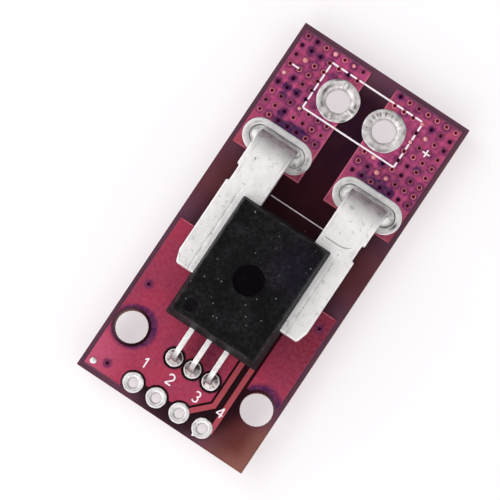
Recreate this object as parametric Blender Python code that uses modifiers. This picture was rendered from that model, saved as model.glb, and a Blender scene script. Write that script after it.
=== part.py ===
"""Hall effect current sensor module: a moulded current sensor soldered to a small circuit board.

The primary conductor is one folded copper strip whose two legs pass through plated slots.
Inside the moulding it narrows to a waist, and a C-shaped flux core closes round that waist
with the Hall chip in its gap. The board has power copper on both faces, stitched by plated
vias, and ground copper with tracks round the signal leads.

Frame: metres, X across the board, +Y towards the current terminals, +Z up out of the
component face. Z = 0 is the level of the lead tips that the module rests on, and the board is
centred on X = Y = 0.
"""
import math

import bmesh
import bpy

MM = 0.001

# Board: laminate and copper
BOARD_WIDTH = 18.2 * MM
BOARD_LENGTH = 38.1 * MM
LAMINATE_THICKNESS = 1.42 * MM
COPPER_THICKNESS = 0.07 * MM
PAD_THICKNESS = 0.12 * MM
TAIL_LENGTH = 1.2 * MM
FIT_GAP = 0.02 * MM
COPPER_TO_EDGE = 0.42 * MM
COPPER_CLEARANCE = 0.22 * MM

# Mounting holes
MOUNT_RADIUS = 1.56 * MM
MOUNT_TO_SIDE = 2.18 * MM
MOUNT_TO_END = 5.65 * MM
MOUNT_CENTRE_X = 0.11 * MM
MOUNT_COPPER_CLEARANCE = 0.3 * MM
MOUNT_SIDES = 24

# Current terminals: two big plated holes
TERMINAL_PITCH = 5.08 * MM
TERMINAL_TO_END = 4.45 * MM
TERMINAL_BORE_RADIUS = 1.13 * MM
TERMINAL_PAD_RADIUS = 2.05 * MM
TERMINAL_RIM = 0.32 * MM
TERMINAL_WALL = 0.14 * MM
TERMINAL_SIDES = 24

# Signal header: four plated holes
HEADER_PITCH = 2.54 * MM
HEADER_COUNT = 4
HEADER_TO_END = 1.45 * MM
HEADER_BORE_RADIUS = 0.47 * MM
HEADER_PAD_RADIUS = 0.975 * MM
HEADER_RIM = 0.17 * MM
HEADER_SIDES = 16

# Plated holes of the signal leads
SIGNAL_PITCH = 2.0 * MM
SIGNAL_COUNT = 3
SIGNAL_TO_HEADER = 4.0 * MM
SIGNAL_BORE_RADIUS = 0.5 * MM
SIGNAL_PAD_RADIUS = 0.83 * MM
SIGNAL_SIDES = 12

# Wall and rim of the small plated holes
PLATED_WALL = 0.06 * MM

# Plated slots of the conductor legs
SLOT_TO_LEG_FACE = 0.2 * MM
SLOT_TO_LEG_SIDE = 0.85 * MM
SLOT_PAD_BAND = 0.72 * MM
SLOT_RIM = 0.1 * MM
SLOT_OFFSET = 0.15 * MM
SLOT_SIDES = 18

# Power copper and its vias
POWER_COPPER_GAP = 2.78 * MM
POWER_COPPER_BELOW_PAD = 0.14 * MM
VIA_PITCH = 1.016 * MM
VIA_RADIUS = 0.15 * MM
VIA_BARREL_RADIUS = 0.29 * MM
VIA_TO_COPPER_EDGE = 0.5 * MM
VIA_GRID_SHIFT = 0.1 * MM
VIA_TO_PAD = 0.3 * MM
VIA_SIDES = 6
BARREL_SIDES = 4

# Ground copper and signal tracks
GROUND_PAST_BODY_MIDDLE = 1.65 * MM
GROUND_RIGHT_ABOVE_HOLE = 1.15 * MM
GROUND_LOW_ABOVE_HEADER = 0.43 * MM
GROUND_CORNER_TO_HEADER = 0.76 * MM
GROUND_TO_TRACK = 0.31 * MM
TRACK_WIDTH = 0.5 * MM
TRACK_PITCH = 1.06 * MM
TRACK_TO_SIGNAL_PAD = 0.42 * MM
TRACK_UNDER_BODY = 2.0 * MM
LEFT_VIA_TO_SIDE = 1.44 * MM
LEFT_VIA_BELOW_GROUND_TOP = 6.8 * MM
CORNER_VIA_TO_SIDE = 2.31 * MM
CORNER_VIA_TO_END = 1.62 * MM
RIGHT_VIA_TO_SIDE = 1.37 * MM
RIGHT_VIA_BELOW_GROUND_TOP = 1.54 * MM
TEST_DOT_RADIUS = 0.32 * MM
TEST_DOT_FROM_CORNER = 1.1 * MM

# Moulded package
SENSOR_X = 0.09 * MM
BODY_WIDTH = 9.9 * MM
BODY_LENGTH = 13.0 * MM
BODY_HEIGHT = 4.4 * MM
BODY_STANDOFF = 0.08 * MM
BODY_DRAFT = 0.45 * MM
BODY_EDGE = 0.12 * MM
PARTING_HEIGHT = 2.15 * MM
RECESS_RADIUS = 1.5 * MM
RECESS_DEPTH = 0.25 * MM
RECESS_SIDES = 28
DIMPLE_RADIUS = 0.68 * MM
DIMPLE_DEPTH = 0.15 * MM
DIMPLE_FROM_SIDE = 1.85 * MM
DIMPLE_FROM_END = 1.8 * MM

# Primary conductor
CONDUCTOR_TO_BOARD_SIDE = 2.1 * MM
CONDUCTOR_THICKNESS = 1.5 * MM
LEG_GAP = 6.0 * MM
LEG_TO_SIGNAL_ROW = 21.4 * MM
LEG_BEND_RADIUS = 1.0 * MM
WING_END = 2.2 * MM
WING_CHAMFER_WIDTH = 0.38 * MM
WING_CHAMFER_LENGTH = 1.2 * MM
NOTCH_DEPTH = 0.25 * MM
NOTCH_LENGTH = 1.75 * MM
NOTCH_FROM_BODY = 0.25 * MM
YOKE_REACH = 3.0 * MM
WAIST_WIDTH = 3.2 * MM
WAIST_LENGTH = 3.6 * MM
CONDUCTOR_EDGE = 0.1 * MM
BEND_STEPS = 6

# Flux core and Hall chip
CORE_WIDTH = 3.0 * MM
CORE_THICKNESS = 0.8 * MM
CORE_REACH = 3.2 * MM
CHIP_WIDTH = 4.4 * MM
CHIP_LENGTH = 1.2 * MM
CHIP_THICKNESS = 0.9 * MM
CHIP_TO_YOKE = 0.2 * MM

# Signal leads
LEAD_PITCH = 1.91 * MM
LEAD_CENTRE_SHIFT = -0.06 * MM
LEAD_REACH = 3.0 * MM
LEAD_WIDTH = 0.51 * MM
LEAD_THICKNESS = 0.38 * MM
LEAD_BEND_RADIUS = 0.8 * MM

# Solder
SLOT_SOLDER_HEIGHT = 0.35 * MM
SLOT_SOLDER_INSET = 0.23 * MM
SLOT_SOLDER_PAST_RIM = 0.1 * MM
SLOT_UNDERSIDE_SPREAD = 0.36 * MM
SLOT_UNDERSIDE_EDGE_HEIGHT = 0.48 * MM
SLOT_UNDERSIDE_HEIGHT = 0.56 * MM
SIGNAL_SOLDER_HEIGHT = 0.6 * MM
SIGNAL_SOLDER_COLLAR_HEIGHT = 0.5 * MM
SIGNAL_SOLDER_SHOULDER_HEIGHT = 0.3 * MM
SIGNAL_SOLDER_SHOULDER_INSET = 0.2 * MM
SIGNAL_SOLDER_COLLAR = 0.1 * MM
SIGNAL_UNDERSIDE_HEIGHT = 0.8 * MM
SIGNAL_UNDERSIDE_WAIST_HEIGHT = 0.32 * MM
SIGNAL_UNDERSIDE_WAIST_INSET = 0.32 * MM
SOLDER_FEATHER = 0.05 * MM
TEST_DOT_HEIGHT = 0.14 * MM
TEST_DOT_SHOULDER_HEIGHT = 0.11 * MM
TEST_DOT_SHOULDER_INSET = 0.13 * MM
TEST_DOT_EDGE_HEIGHT = 0.035 * MM

# Levels, from the lead tips up
BOARD_UNDERSIDE = TAIL_LENGTH
LAMINATE_LOW = BOARD_UNDERSIDE + COPPER_THICKNESS + FIT_GAP
LAMINATE_HIGH = LAMINATE_LOW + LAMINATE_THICKNESS
COPPER_LOW = LAMINATE_HIGH + FIT_GAP
BOARD_TOPSIDE = COPPER_LOW + COPPER_THICKNESS
PAD_TOP = COPPER_LOW + PAD_THICKNESS
PAD_BOTTOM = LAMINATE_LOW - FIT_GAP - PAD_THICKNESS
BODY_LOW = BOARD_TOPSIDE + BODY_STANDOFF
PARTING_LEVEL = BODY_LOW + PARTING_HEIGHT

# Places in plan: the header and terminals keep to the board's ends, the sensor to the header
HEADER_Y = -BOARD_LENGTH / 2 + HEADER_TO_END
TERMINAL_Y = BOARD_LENGTH / 2 - TERMINAL_TO_END
MOUNT_Y = -BOARD_LENGTH / 2 + MOUNT_TO_END
MOUNT_SPACING = BOARD_WIDTH - 2 * MOUNT_TO_SIDE
SIGNAL_Y = HEADER_Y + SIGNAL_TO_HEADER
BODY_Y = SIGNAL_Y + LEAD_REACH + BODY_LENGTH / 2
LEAD_CENTRE_X = SENSOR_X + LEAD_CENTRE_SHIFT

# Conductor legs, as wide as the board leaves them, and the slots that they pass through
CONDUCTOR_WIDTH = BOARD_WIDTH - 2 * CONDUCTOR_TO_BOARD_SIDE
LEG_WIDTH = (CONDUCTOR_WIDTH - LEG_GAP) / 2
LEG_X = (LEG_GAP + LEG_WIDTH) / 2
LEG_Y = SIGNAL_Y + LEG_TO_SIGNAL_ROW
SLOT_Y = LEG_Y + SLOT_OFFSET
SLOT_RADIUS = CONDUCTOR_THICKNESS / 2 + SLOT_TO_LEG_FACE
SLOT_HALF_STRAIGHT = LEG_WIDTH / 2 + SLOT_TO_LEG_SIDE - SLOT_RADIUS
SLOT_PAD_RADIUS = SLOT_RADIUS + SLOT_PAD_BAND

# Copper in plan
COPPER_EDGE_X = BOARD_WIDTH / 2 - COPPER_TO_EDGE
COPPER_EDGE_Y = BOARD_LENGTH / 2 - COPPER_TO_EDGE
POWER_COPPER_LOW_Y = SLOT_Y - SLOT_PAD_RADIUS - POWER_COPPER_BELOW_PAD
GROUND_TOP_Y = BODY_Y + GROUND_PAST_BODY_MIDDLE
GROUND_VIAS = (
    (-BOARD_WIDTH / 2 + LEFT_VIA_TO_SIDE, GROUND_TOP_Y - LEFT_VIA_BELOW_GROUND_TOP),
    (-BOARD_WIDTH / 2 + CORNER_VIA_TO_SIDE, -BOARD_LENGTH / 2 + CORNER_VIA_TO_END),
    (BOARD_WIDTH / 2 - RIGHT_VIA_TO_SIDE, GROUND_TOP_Y - RIGHT_VIA_BELOW_GROUND_TOP),
)

# Working values: how far tools run past what they cut, welding distance, sharp edges
CUT_OVER = 1.0 * MM
WELD = 0.001 * MM
SHARP_ANGLE = 35.0


def new_collection(name):
    collection = bpy.data.collections.new(name)
    bpy.context.scene.collection.children.link(collection)
    return collection


def clear_scene():
    for item in list(bpy.data.objects):
        bpy.data.objects.remove(item, do_unlink=True)


def finish(name, colour, metallic, roughness):
    """One plain surface finish."""
    material = bpy.data.materials.new(name)
    material.use_nodes = True
    shader = material.node_tree.nodes["Principled BSDF"]
    shader.inputs["Base Color"].default_value = (*colour, 1.0)
    shader.inputs["Metallic"].default_value = metallic
    shader.inputs["Roughness"].default_value = roughness
    return material


def make_finishes():
    return {
        "laminate": finish("masked_laminate", (0.045, 0.012, 0.022), 0.0, 0.4),
        "copper": finish("masked_copper", (0.36, 0.035, 0.10), 0.1, 0.4),
        "tinned": finish("tinned_copper", (0.75, 0.74, 0.72), 1.0, 0.35),
        "solder": finish("solder", (0.72, 0.72, 0.72), 1.0, 0.2),
        "moulding": finish("black_moulding", (0.012, 0.012, 0.013), 0.0, 0.6),
        "core": finish("soft_iron", (0.25, 0.24, 0.23), 1.0, 0.5),
        "chip": finish("silicon", (0.08, 0.08, 0.10), 0.3, 0.3),
    }


def as_mesh(source, name):
    """Replace a curve or modified object by a welded mesh object in the same place."""
    bpy.context.view_layer.update()
    evaluated = source.evaluated_get(bpy.context.evaluated_depsgraph_get())
    mesh = bpy.data.meshes.new_from_object(evaluated)
    place = source.matrix_world.copy()
    bpy.data.objects.remove(source, do_unlink=True)
    body = bmesh.new()
    body.from_mesh(mesh)
    bmesh.ops.remove_doubles(body, verts=body.verts, dist=WELD)
    bmesh.ops.recalc_face_normals(body, faces=body.faces)
    body.to_mesh(mesh)
    body.free()
    solid = bpy.data.objects.new(name, mesh)
    solid.matrix_world = place
    return solid


def flat_solid(name, outlines, low, high, side_view=False):
    """A filled flat curve with thickness. Outlines inside another one are holes.

    In side view the outlines are (y, z) and low and high are X, otherwise they are (x, y)
    and low and high are Z.
    """
    curve = bpy.data.curves.new(name, "CURVE")
    curve.dimensions = "2D"
    curve.fill_mode = "BOTH"
    curve.extrude = (high - low) / 2
    for outline in outlines:
        spline = curve.splines.new("POLY")
        spline.points.add(len(outline) - 1)
        for point, corner in zip(spline.points, outline):
            point.co = (corner[0], corner[1], 0.0, 1.0)
        spline.use_cyclic_u = True
    drawn = bpy.data.objects.new(name, curve)
    bpy.context.scene.collection.objects.link(drawn)
    middle = (low + high) / 2
    if side_view:
        drawn.rotation_euler = (math.pi / 2, 0.0, math.pi / 2)
        drawn.location = (middle, 0.0, 0.0)
    else:
        drawn.location = (0.0, 0.0, middle)
    return as_mesh(drawn, name)


def round_outline(radius, sides, centre=(0.0, 0.0), half_straight=0.0):
    """Corners of a circle, or of an oblong: a circle whose two halves are moved apart in X."""
    corners = []
    for step in range(sides):
        angle = math.tau * step / sides
        x = radius * math.cos(angle)
        if half_straight:
            x += math.copysign(half_straight, x)
        corners.append((centre[0] + x, centre[1] + radius * math.sin(angle)))
    return corners


def box_outline(x_low, x_high, y_low, y_high):
    return [(x_low, y_low), (x_high, y_low), (x_high, y_high), (x_low, y_high)]


def turned_solid(name, profile, sides, centre, half_straight=0.0, closed=True):
    """A profile of (radius, z) points turned about Z, its halves moved apart for an oblong.

    The profile runs down its outer side. A closed one is a ring, an open one ends on the axis.
    """
    mesh = bpy.data.meshes.new(name)
    points = [(radius, 0.0, z) for radius, z in profile]
    edges = [(k, k + 1) for k in range(len(points) - 1)]
    if closed:
        edges.append((len(points) - 1, 0))
    mesh.from_pydata(points, edges, [])
    blank = bpy.data.objects.new(name, mesh)
    bpy.context.scene.collection.objects.link(blank)
    screw = blank.modifiers.new("turn", "SCREW")
    screw.steps = sides
    screw.render_steps = sides
    screw.use_merge_vertices = True
    screw.merge_threshold = WELD
    solid = as_mesh(blank, name)
    for vertex in solid.data.vertices:
        if half_straight:
            vertex.co.x += math.copysign(half_straight, vertex.co.x)
    solid.location = (centre[0], centre[1], 0.0)
    return solid


def block(name, size, centre):
    """A rectangular block from a primitive cube."""
    body = bmesh.new()
    bmesh.ops.create_cube(body, size=1.0)
    bmesh.ops.scale(body, vec=size, verts=body.verts)
    mesh = bpy.data.meshes.new(name)
    body.to_mesh(mesh)
    body.free()
    solid = bpy.data.objects.new(name, mesh)
    solid.location = centre
    return solid


def join(name, solids):
    """Put separate solids into one mesh object, in world positions."""
    joined = bmesh.new()
    for solid in solids:
        bpy.context.view_layer.update()
        copy = solid.data.copy()
        copy.transform(solid.matrix_basis)
        joined.from_mesh(copy)
        bpy.data.meshes.remove(copy)
        bpy.data.objects.remove(solid, do_unlink=True)
    mesh = bpy.data.meshes.new(name)
    joined.to_mesh(mesh)
    joined.free()
    return bpy.data.objects.new(name, mesh)


def place_part(solid, material, smooth=False):
    """Put a finished sub-part in the module's collection with its finish."""
    PARTS.objects.link(solid)
    solid.data.materials.clear()
    solid.data.materials.append(material)
    if smooth:
        solid.data.shade_smooth()
        solid.data.set_sharp_from_angle(angle=math.radians(SHARP_ANGLE))
    return solid


def boolean(solid, tool, operation):
    """Cut, join or keep the common part with a tool that is itself left out of the module."""
    if tool.name not in TOOLS.objects:
        TOOLS.objects.link(tool)
        tool.hide_render = True
        tool.display_type = "WIRE"
    step = solid.modifiers.new(operation.lower(), "BOOLEAN")
    step.operation = operation
    step.solver = "EXACT"
    step.object = tool


def soften(solid, width, segments=1):
    """Small rounding of every clear edge."""
    bevel = solid.modifiers.new("edges", "BEVEL")
    bevel.width = width
    bevel.segments = segments
    bevel.limit_method = "ANGLE"
    bevel.angle_limit = math.radians(SHARP_ANGLE)


def row(count, pitch, centre_x, y):
    """Evenly pitched places along X."""
    return [(centre_x + (k - (count - 1) / 2) * pitch, y) for k in range(count)]


HEADER_PLACES = row(HEADER_COUNT, HEADER_PITCH, 0.0, HEADER_Y)
SIGNAL_PLACES = row(SIGNAL_COUNT, SIGNAL_PITCH, SENSOR_X, SIGNAL_Y)
TERMINAL_PLACES = row(2, TERMINAL_PITCH, 0.0, TERMINAL_Y)
SLOT_PLACES = row(2, 2 * LEG_X, SENSOR_X, SLOT_Y)
MOUNT_PLACES = row(2, MOUNT_SPACING, MOUNT_CENTRE_X, MOUNT_Y)


def power_copper_box(side):
    """Plan of one power copper area: side is -1 for minus and +1 for plus."""
    inner = side * POWER_COPPER_GAP / 2
    outer = side * COPPER_EDGE_X
    return min(inner, outer), max(inner, outer), POWER_COPPER_LOW_Y, COPPER_EDGE_Y


def power_via_places(side):
    """Grid of vias that fills a power copper area, clear of its pads."""
    x_low, x_high, y_low, y_high = power_copper_box(side)
    columns = int((x_high - x_low - 2 * VIA_TO_COPPER_EDGE) / VIA_PITCH + 1e-6) + 1
    middle = (x_low + x_high) / 2 + side * VIA_GRID_SHIFT
    terminal = TERMINAL_PLACES[0 if side < 0 else 1]
    slot = SLOT_PLACES[0 if side < 0 else 1]
    places = []
    y = y_high - VIA_TO_COPPER_EDGE
    while y > slot[1] + SLOT_PAD_RADIUS + VIA_TO_PAD:
        for x, _ in row(columns, VIA_PITCH, middle, y):
            reach = math.dist((x, y), terminal)
            if reach > TERMINAL_PAD_RADIUS + VIA_TO_PAD:
                places.append((x, y))
        y -= VIA_PITCH
    return places


def plated_hole(name, place, bore, pad, rim, wall, sides, half_straight=0.0):
    """Tinned eyelet: pads on both faces, a barrel through the laminate and rounded rims."""
    barrel = bore + wall
    inside = [(bore, PAD_BOTTOM), (bore, PAD_TOP - rim)]
    if rim:
        inside.append((bore + rim, PAD_TOP))
    outside = [
        (pad, PAD_TOP),
        (pad, COPPER_LOW),
        (barrel, COPPER_LOW),
        (barrel, LAMINATE_LOW - FIT_GAP),
        (pad, LAMINATE_LOW - FIT_GAP),
        (pad, PAD_BOTTOM),
    ]
    return turned_solid(name, inside + outside, sides, place, half_straight)


def make_laminate(finishes):
    """Glass-epoxy board with every drilled and routed opening."""
    half_width = BOARD_WIDTH / 2
    half_length = BOARD_LENGTH / 2
    outlines = [box_outline(-half_width, half_width, -half_length, half_length)]
    for place in MOUNT_PLACES:
        outlines.append(round_outline(MOUNT_RADIUS, MOUNT_SIDES, place))
    for place in TERMINAL_PLACES:
        radius = TERMINAL_BORE_RADIUS + TERMINAL_WALL + FIT_GAP
        outlines.append(round_outline(radius, TERMINAL_SIDES, place))
    for place in HEADER_PLACES:
        radius = HEADER_BORE_RADIUS + PLATED_WALL + FIT_GAP
        outlines.append(round_outline(radius, HEADER_SIDES, place))
    for place in SIGNAL_PLACES:
        radius = SIGNAL_BORE_RADIUS + PLATED_WALL + FIT_GAP
        outlines.append(round_outline(radius, SIGNAL_SIDES, place))
    for place in SLOT_PLACES:
        radius = SLOT_RADIUS + PLATED_WALL + FIT_GAP
        outlines.append(round_outline(radius, SLOT_SIDES, place, SLOT_HALF_STRAIGHT))
    for place in power_via_places(-1) + power_via_places(1) + list(GROUND_VIAS):
        outlines.append(round_outline(VIA_BARREL_RADIUS + FIT_GAP, BARREL_SIDES, place))
    laminate = flat_solid("board_laminate", outlines, LAMINATE_LOW, LAMINATE_HIGH)
    return place_part(laminate, finishes["laminate"])


def stitched_copper(name, top_outlines, bottom_outlines, vias, material):
    """Copper areas on both faces with the plated via barrels that join them, as one solid."""
    sheets = []
    for k, outline in enumerate(top_outlines):
        sheets.append(flat_solid(f"{name}_top_{k}", [outline], COPPER_LOW, BOARD_TOPSIDE))
    for k, outline in enumerate(bottom_outlines):
        high = LAMINATE_LOW - FIT_GAP
        sheets.append(flat_solid(f"{name}_bottom_{k}", [outline], BOARD_UNDERSIDE, high))
    copper = join(name, sheets)
    barrels = [round_outline(VIA_BARREL_RADIUS, BARREL_SIDES, place) for place in vias]
    bores = [round_outline(VIA_RADIUS, VIA_SIDES, place) for place in vias]
    half = COPPER_THICKNESS / 2
    pins = flat_solid(f"{name}_barrels", barrels, BOARD_UNDERSIDE + half, BOARD_TOPSIDE - half)
    drills = flat_solid(f"{name}_bores", bores, BOARD_UNDERSIDE - CUT_OVER, BOARD_TOPSIDE + CUT_OVER)
    boolean(copper, pins, "UNION")
    boolean(copper, drills, "DIFFERENCE")
    return place_part(copper, material)


def clear_copper(copper, place, radius, sides, half_straight=0.0, faces="both"):
    """Open a copper area round a pad or hole, on one face or on both."""
    middle = (LAMINATE_LOW + LAMINATE_HIGH) / 2
    low = middle if faces == "top" else BOARD_UNDERSIDE - CUT_OVER
    high = middle if faces == "bottom" else BOARD_TOPSIDE + CUT_OVER
    outline = round_outline(radius, sides, place, half_straight)
    boolean(copper, flat_solid(f"{copper.name}_opening", [outline], low, high), "DIFFERENCE")


def make_power_copper(side, finishes):
    """One current path: copper areas on both faces, opened for its terminal and slot rings."""
    index = 0 if side < 0 else 1
    name = "power_copper_minus" if side < 0 else "power_copper_plus"
    outline = box_outline(*power_copper_box(side))
    vias = power_via_places(side)
    copper = stitched_copper(name, [outline], [outline], vias, finishes["copper"])
    clear_copper(copper, TERMINAL_PLACES[index], TERMINAL_PAD_RADIUS + FIT_GAP, TERMINAL_SIDES)
    clear_copper(
        copper, SLOT_PLACES[index], SLOT_PAD_RADIUS + FIT_GAP, SLOT_SIDES, SLOT_HALF_STRAIGHT
    )
    return copper


def track_outline(points, width):
    """Outline of a track of constant width along a path, with mitred corners."""
    left = []
    right = []
    for k, (x, y) in enumerate(points):
        before = points[max(k - 1, 0)]
        after = points[min(k + 1, len(points) - 1)]
        turns = []
        for start, end in ((before, (x, y)), ((x, y), after)):
            length = math.dist(start, end)
            if length > 0:
                turns.append(((end[0] - start[0]) / length, (end[1] - start[1]) / length))
        nx = sum(-t[1] for t in turns) / len(turns)
        ny = sum(t[0] for t in turns) / len(turns)
        scale = width / 2 / (nx * nx + ny * ny)
        left.append((x + nx * scale, y + ny * scale))
        right.append((x - nx * scale, y - ny * scale))
    return left + right[::-1]


def signal_track_paths():
    """Centre lines of the two tracks on the component face, from under the package down."""
    third = HEADER_PLACES[2]
    fourth = HEADER_PLACES[3]
    start_y = BODY_Y - BODY_LENGTH / 2 + TRACK_UNDER_BODY
    near_x = SIGNAL_PLACES[2][0] + SIGNAL_PAD_RADIUS + TRACK_TO_SIGNAL_PAD + TRACK_WIDTH / 2
    far_x = near_x + TRACK_PITCH
    slope = near_x - third[0]
    inner = [(near_x, start_y), (near_x, third[1] + slope), third]
    outer = [(far_x, start_y), (far_x, fourth[1])]
    return inner, outer


def make_tracks(finishes):
    """Tracks to the header on the component face, and two short ones on the underside."""
    inner, outer = signal_track_paths()
    for name, path, header in (("signal_track_3", inner, 2), ("signal_track_4", outer, 3)):
        outline = track_outline(path, TRACK_WIDTH)
        track = flat_solid(name, [outline], COPPER_LOW, BOARD_TOPSIDE)
        place_part(track, finishes["copper"])
        clear_copper(track, HEADER_PLACES[header], HEADER_PAD_RADIUS + FIT_GAP, HEADER_SIDES)
    for name, signal, header in (("supply_track", 0, 0), ("output_track", 2, 2)):
        start = SIGNAL_PLACES[signal]
        outline = track_outline([start, HEADER_PLACES[header]], TRACK_WIDTH)
        track = flat_solid(name, [outline], BOARD_UNDERSIDE, LAMINATE_LOW - FIT_GAP)
        place_part(track, finishes["copper"])
        clear_copper(track, start, SIGNAL_PAD_RADIUS + FIT_GAP, SIGNAL_SIDES)
        clear_copper(track, HEADER_PLACES[header], HEADER_PAD_RADIUS + FIT_GAP, HEADER_SIDES)


def make_ground_copper(finishes):
    """Ground areas beside and below the package, with the area under them on the underside."""
    inner, outer = signal_track_paths()
    step = TRACK_WIDTH / 2 + COPPER_CLEARANCE
    edge_x = inner[0][0] - step
    low_y = HEADER_Y + GROUND_LOW_ABOVE_HEADER
    corner_x = HEADER_PLACES[0][0] - GROUND_CORNER_TO_HEADER
    diagonal_y = inner[1][1] + step * (math.sqrt(2) - 1)
    left = [
        (-COPPER_EDGE_X, GROUND_TOP_Y),
        (edge_x, GROUND_TOP_Y),
        (edge_x, diagonal_y),
        (edge_x - (diagonal_y - low_y), low_y),
        (corner_x, low_y),
        (corner_x, -COPPER_EDGE_Y),
        (-COPPER_EDGE_X, -COPPER_EDGE_Y),
    ]
    right_x = outer[0][0] + TRACK_WIDTH / 2 + GROUND_TO_TRACK
    right_low_y = MOUNT_Y + GROUND_RIGHT_ABOVE_HOLE
    right = box_outline(right_x, COPPER_EDGE_X, right_low_y, GROUND_TOP_Y)
    under = box_outline(-COPPER_EDGE_X, COPPER_EDGE_X, -COPPER_EDGE_Y, GROUND_TOP_Y)
    copper = stitched_copper(
        "ground_copper", [left, right], [under], list(GROUND_VIAS), finishes["copper"]
    )
    for place in MOUNT_PLACES:
        clear_copper(copper, place, MOUNT_RADIUS + MOUNT_COPPER_CLEARANCE, MOUNT_SIDES)
    open_radius = HEADER_PAD_RADIUS + COPPER_CLEARANCE
    for k, place in enumerate(HEADER_PLACES):
        clear_copper(copper, place, open_radius, HEADER_SIDES, faces="top")
        seated = HEADER_PAD_RADIUS + FIT_GAP if k == 1 else open_radius
        clear_copper(copper, place, seated, HEADER_SIDES, faces="bottom")
    open_radius = SIGNAL_PAD_RADIUS + COPPER_CLEARANCE
    for k, place in enumerate(SIGNAL_PLACES):
        clear_copper(copper, place, open_radius, SIGNAL_SIDES, faces="top")
        seated = SIGNAL_PAD_RADIUS + FIT_GAP if k == 1 else open_radius
        clear_copper(copper, place, seated, SIGNAL_SIDES, faces="bottom")
    for k in (0, 2):
        ends = [SIGNAL_PLACES[k], HEADER_PLACES[k]]
        outline = track_outline(ends, TRACK_WIDTH + 2 * COPPER_CLEARANCE)
        middle = (LAMINATE_LOW + LAMINATE_HIGH) / 2
        channel = flat_solid(f"channel_{k}", [outline], BOARD_UNDERSIDE - CUT_OVER, middle)
        boolean(copper, channel, "DIFFERENCE")
    return copper


def make_plated_holes(finishes):
    """Tinned rings of the header, terminals, signal leads and conductor slots."""
    tinned = finishes["tinned"]
    for k, place in enumerate(HEADER_PLACES):
        ring = plated_hole(
            f"header_ring_{k + 1}", place, HEADER_BORE_RADIUS, HEADER_PAD_RADIUS,
            HEADER_RIM, PLATED_WALL, HEADER_SIDES,
        )
        place_part(ring, tinned, smooth=True)
    for k, place in enumerate(SIGNAL_PLACES):
        ring = plated_hole(
            f"signal_ring_{k + 1}", place, SIGNAL_BORE_RADIUS, SIGNAL_PAD_RADIUS,
            0.0, PLATED_WALL, SIGNAL_SIDES,
        )
        place_part(ring, tinned, smooth=True)
    for sign, terminal, slot in zip(("minus", "plus"), TERMINAL_PLACES, SLOT_PLACES):
        ring = plated_hole(
            f"terminal_ring_{sign}", terminal, TERMINAL_BORE_RADIUS, TERMINAL_PAD_RADIUS,
            TERMINAL_RIM, TERMINAL_WALL, TERMINAL_SIDES,
        )
        place_part(ring, tinned, smooth=True)
        ring = plated_hole(
            f"slot_ring_{sign}", slot, SLOT_RADIUS, SLOT_PAD_RADIUS,
            SLOT_RIM, PLATED_WALL, SLOT_SIDES, SLOT_HALF_STRAIGHT,
        )
        place_part(ring, tinned, smooth=True)


def folded_strip(start_y, drop_y, level, tip, thickness, inside_radius, grow=0.0):
    """Side outline of a strip that runs level from start_y, then bends down at drop_y.

    Each arc is a quarter circle about one centre, and grow moves every face outwards.
    """
    sense = math.copysign(1.0, drop_y - start_y)
    reach = inside_radius + thickness / 2
    centre_y = drop_y - sense * reach
    centre_z = level - reach
    half = thickness / 2 + grow
    turns = [math.pi / 2 * k / BEND_STEPS for k in range(BEND_STEPS + 1)]
    outer = []
    inner = []
    for turn in turns:
        along = sense * math.sin(turn)
        up = math.cos(turn)
        outer.append((centre_y + along * (reach + half), centre_z + up * (reach + half)))
        inner.append((centre_y + along * (reach - half), centre_z + up * (reach - half)))
    start = start_y - sense * grow
    end = tip - grow
    outline = [(start, level + half)] + outer
    outline += [(drop_y + sense * half, end), (drop_y - sense * half, end)]
    outline += inner[::-1] + [(start, level - half)]
    return outline


def conductor_plan(grow):
    """Plan of the stamped blank: two legs, wings beside the body and a waist between them."""
    inner = LEG_GAP / 2 - grow
    outer = CONDUCTOR_WIDTH / 2 + grow
    notch = CONDUCTOR_WIDTH / 2 - NOTCH_DEPTH + grow
    notch_low = BODY_LENGTH / 2 + NOTCH_FROM_BODY + grow
    notch_high = notch_low + NOTCH_LENGTH - 2 * grow
    waist = WAIST_WIDTH / 2 + grow
    waist_x = WAIST_LENGTH / 2 - grow
    wing_end = -WING_END - grow
    leg_end = LEG_Y - BODY_Y + LEG_BEND_RADIUS + CONDUCTOR_THICKNESS
    half = [
        (inner, leg_end),
        (outer, leg_end),
        (outer, notch_high),
        (notch, notch_high),
        (notch, notch_low),
        (outer, notch_low),
        (outer, -WING_END + WING_CHAMFER_LENGTH),
        (outer - WING_CHAMFER_WIDTH, wing_end),
        (waist_x, wing_end),
        (waist_x, -waist),
    ]
    upper = [(waist_x, waist), (waist_x, YOKE_REACH + grow), (inner, YOKE_REACH + grow)]
    right = half
    left = [(-x, y) for x, y in reversed(half)]
    yoke = upper[::-1]
    yoke_left = [(-x, y) for x, y in upper]
    plan = right + left + yoke_left[::-1] + yoke[::-1]
    return [(x + SENSOR_X, y + BODY_Y) for x, y in plan]


def conductor_solid(name, grow=0.0):
    """The strip's side outline over its full width, kept only within its plan."""
    start = BODY_Y - WING_END
    side = folded_strip(
        start, LEG_Y, PARTING_LEVEL, 0.0, CONDUCTOR_THICKNESS, LEG_BEND_RADIUS, grow
    )
    half_width = CONDUCTOR_WIDTH / 2 + CUT_OVER
    strip = flat_solid(name, [side], SENSOR_X - half_width, SENSOR_X + half_width, side_view=True)
    plan = flat_solid(f"{name}_plan", [conductor_plan(grow)], -CUT_OVER, BODY_LOW + BODY_HEIGHT)
    boolean(strip, plan, "INTERSECT")
    soften(strip, CONDUCTOR_EDGE)
    return strip


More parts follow.
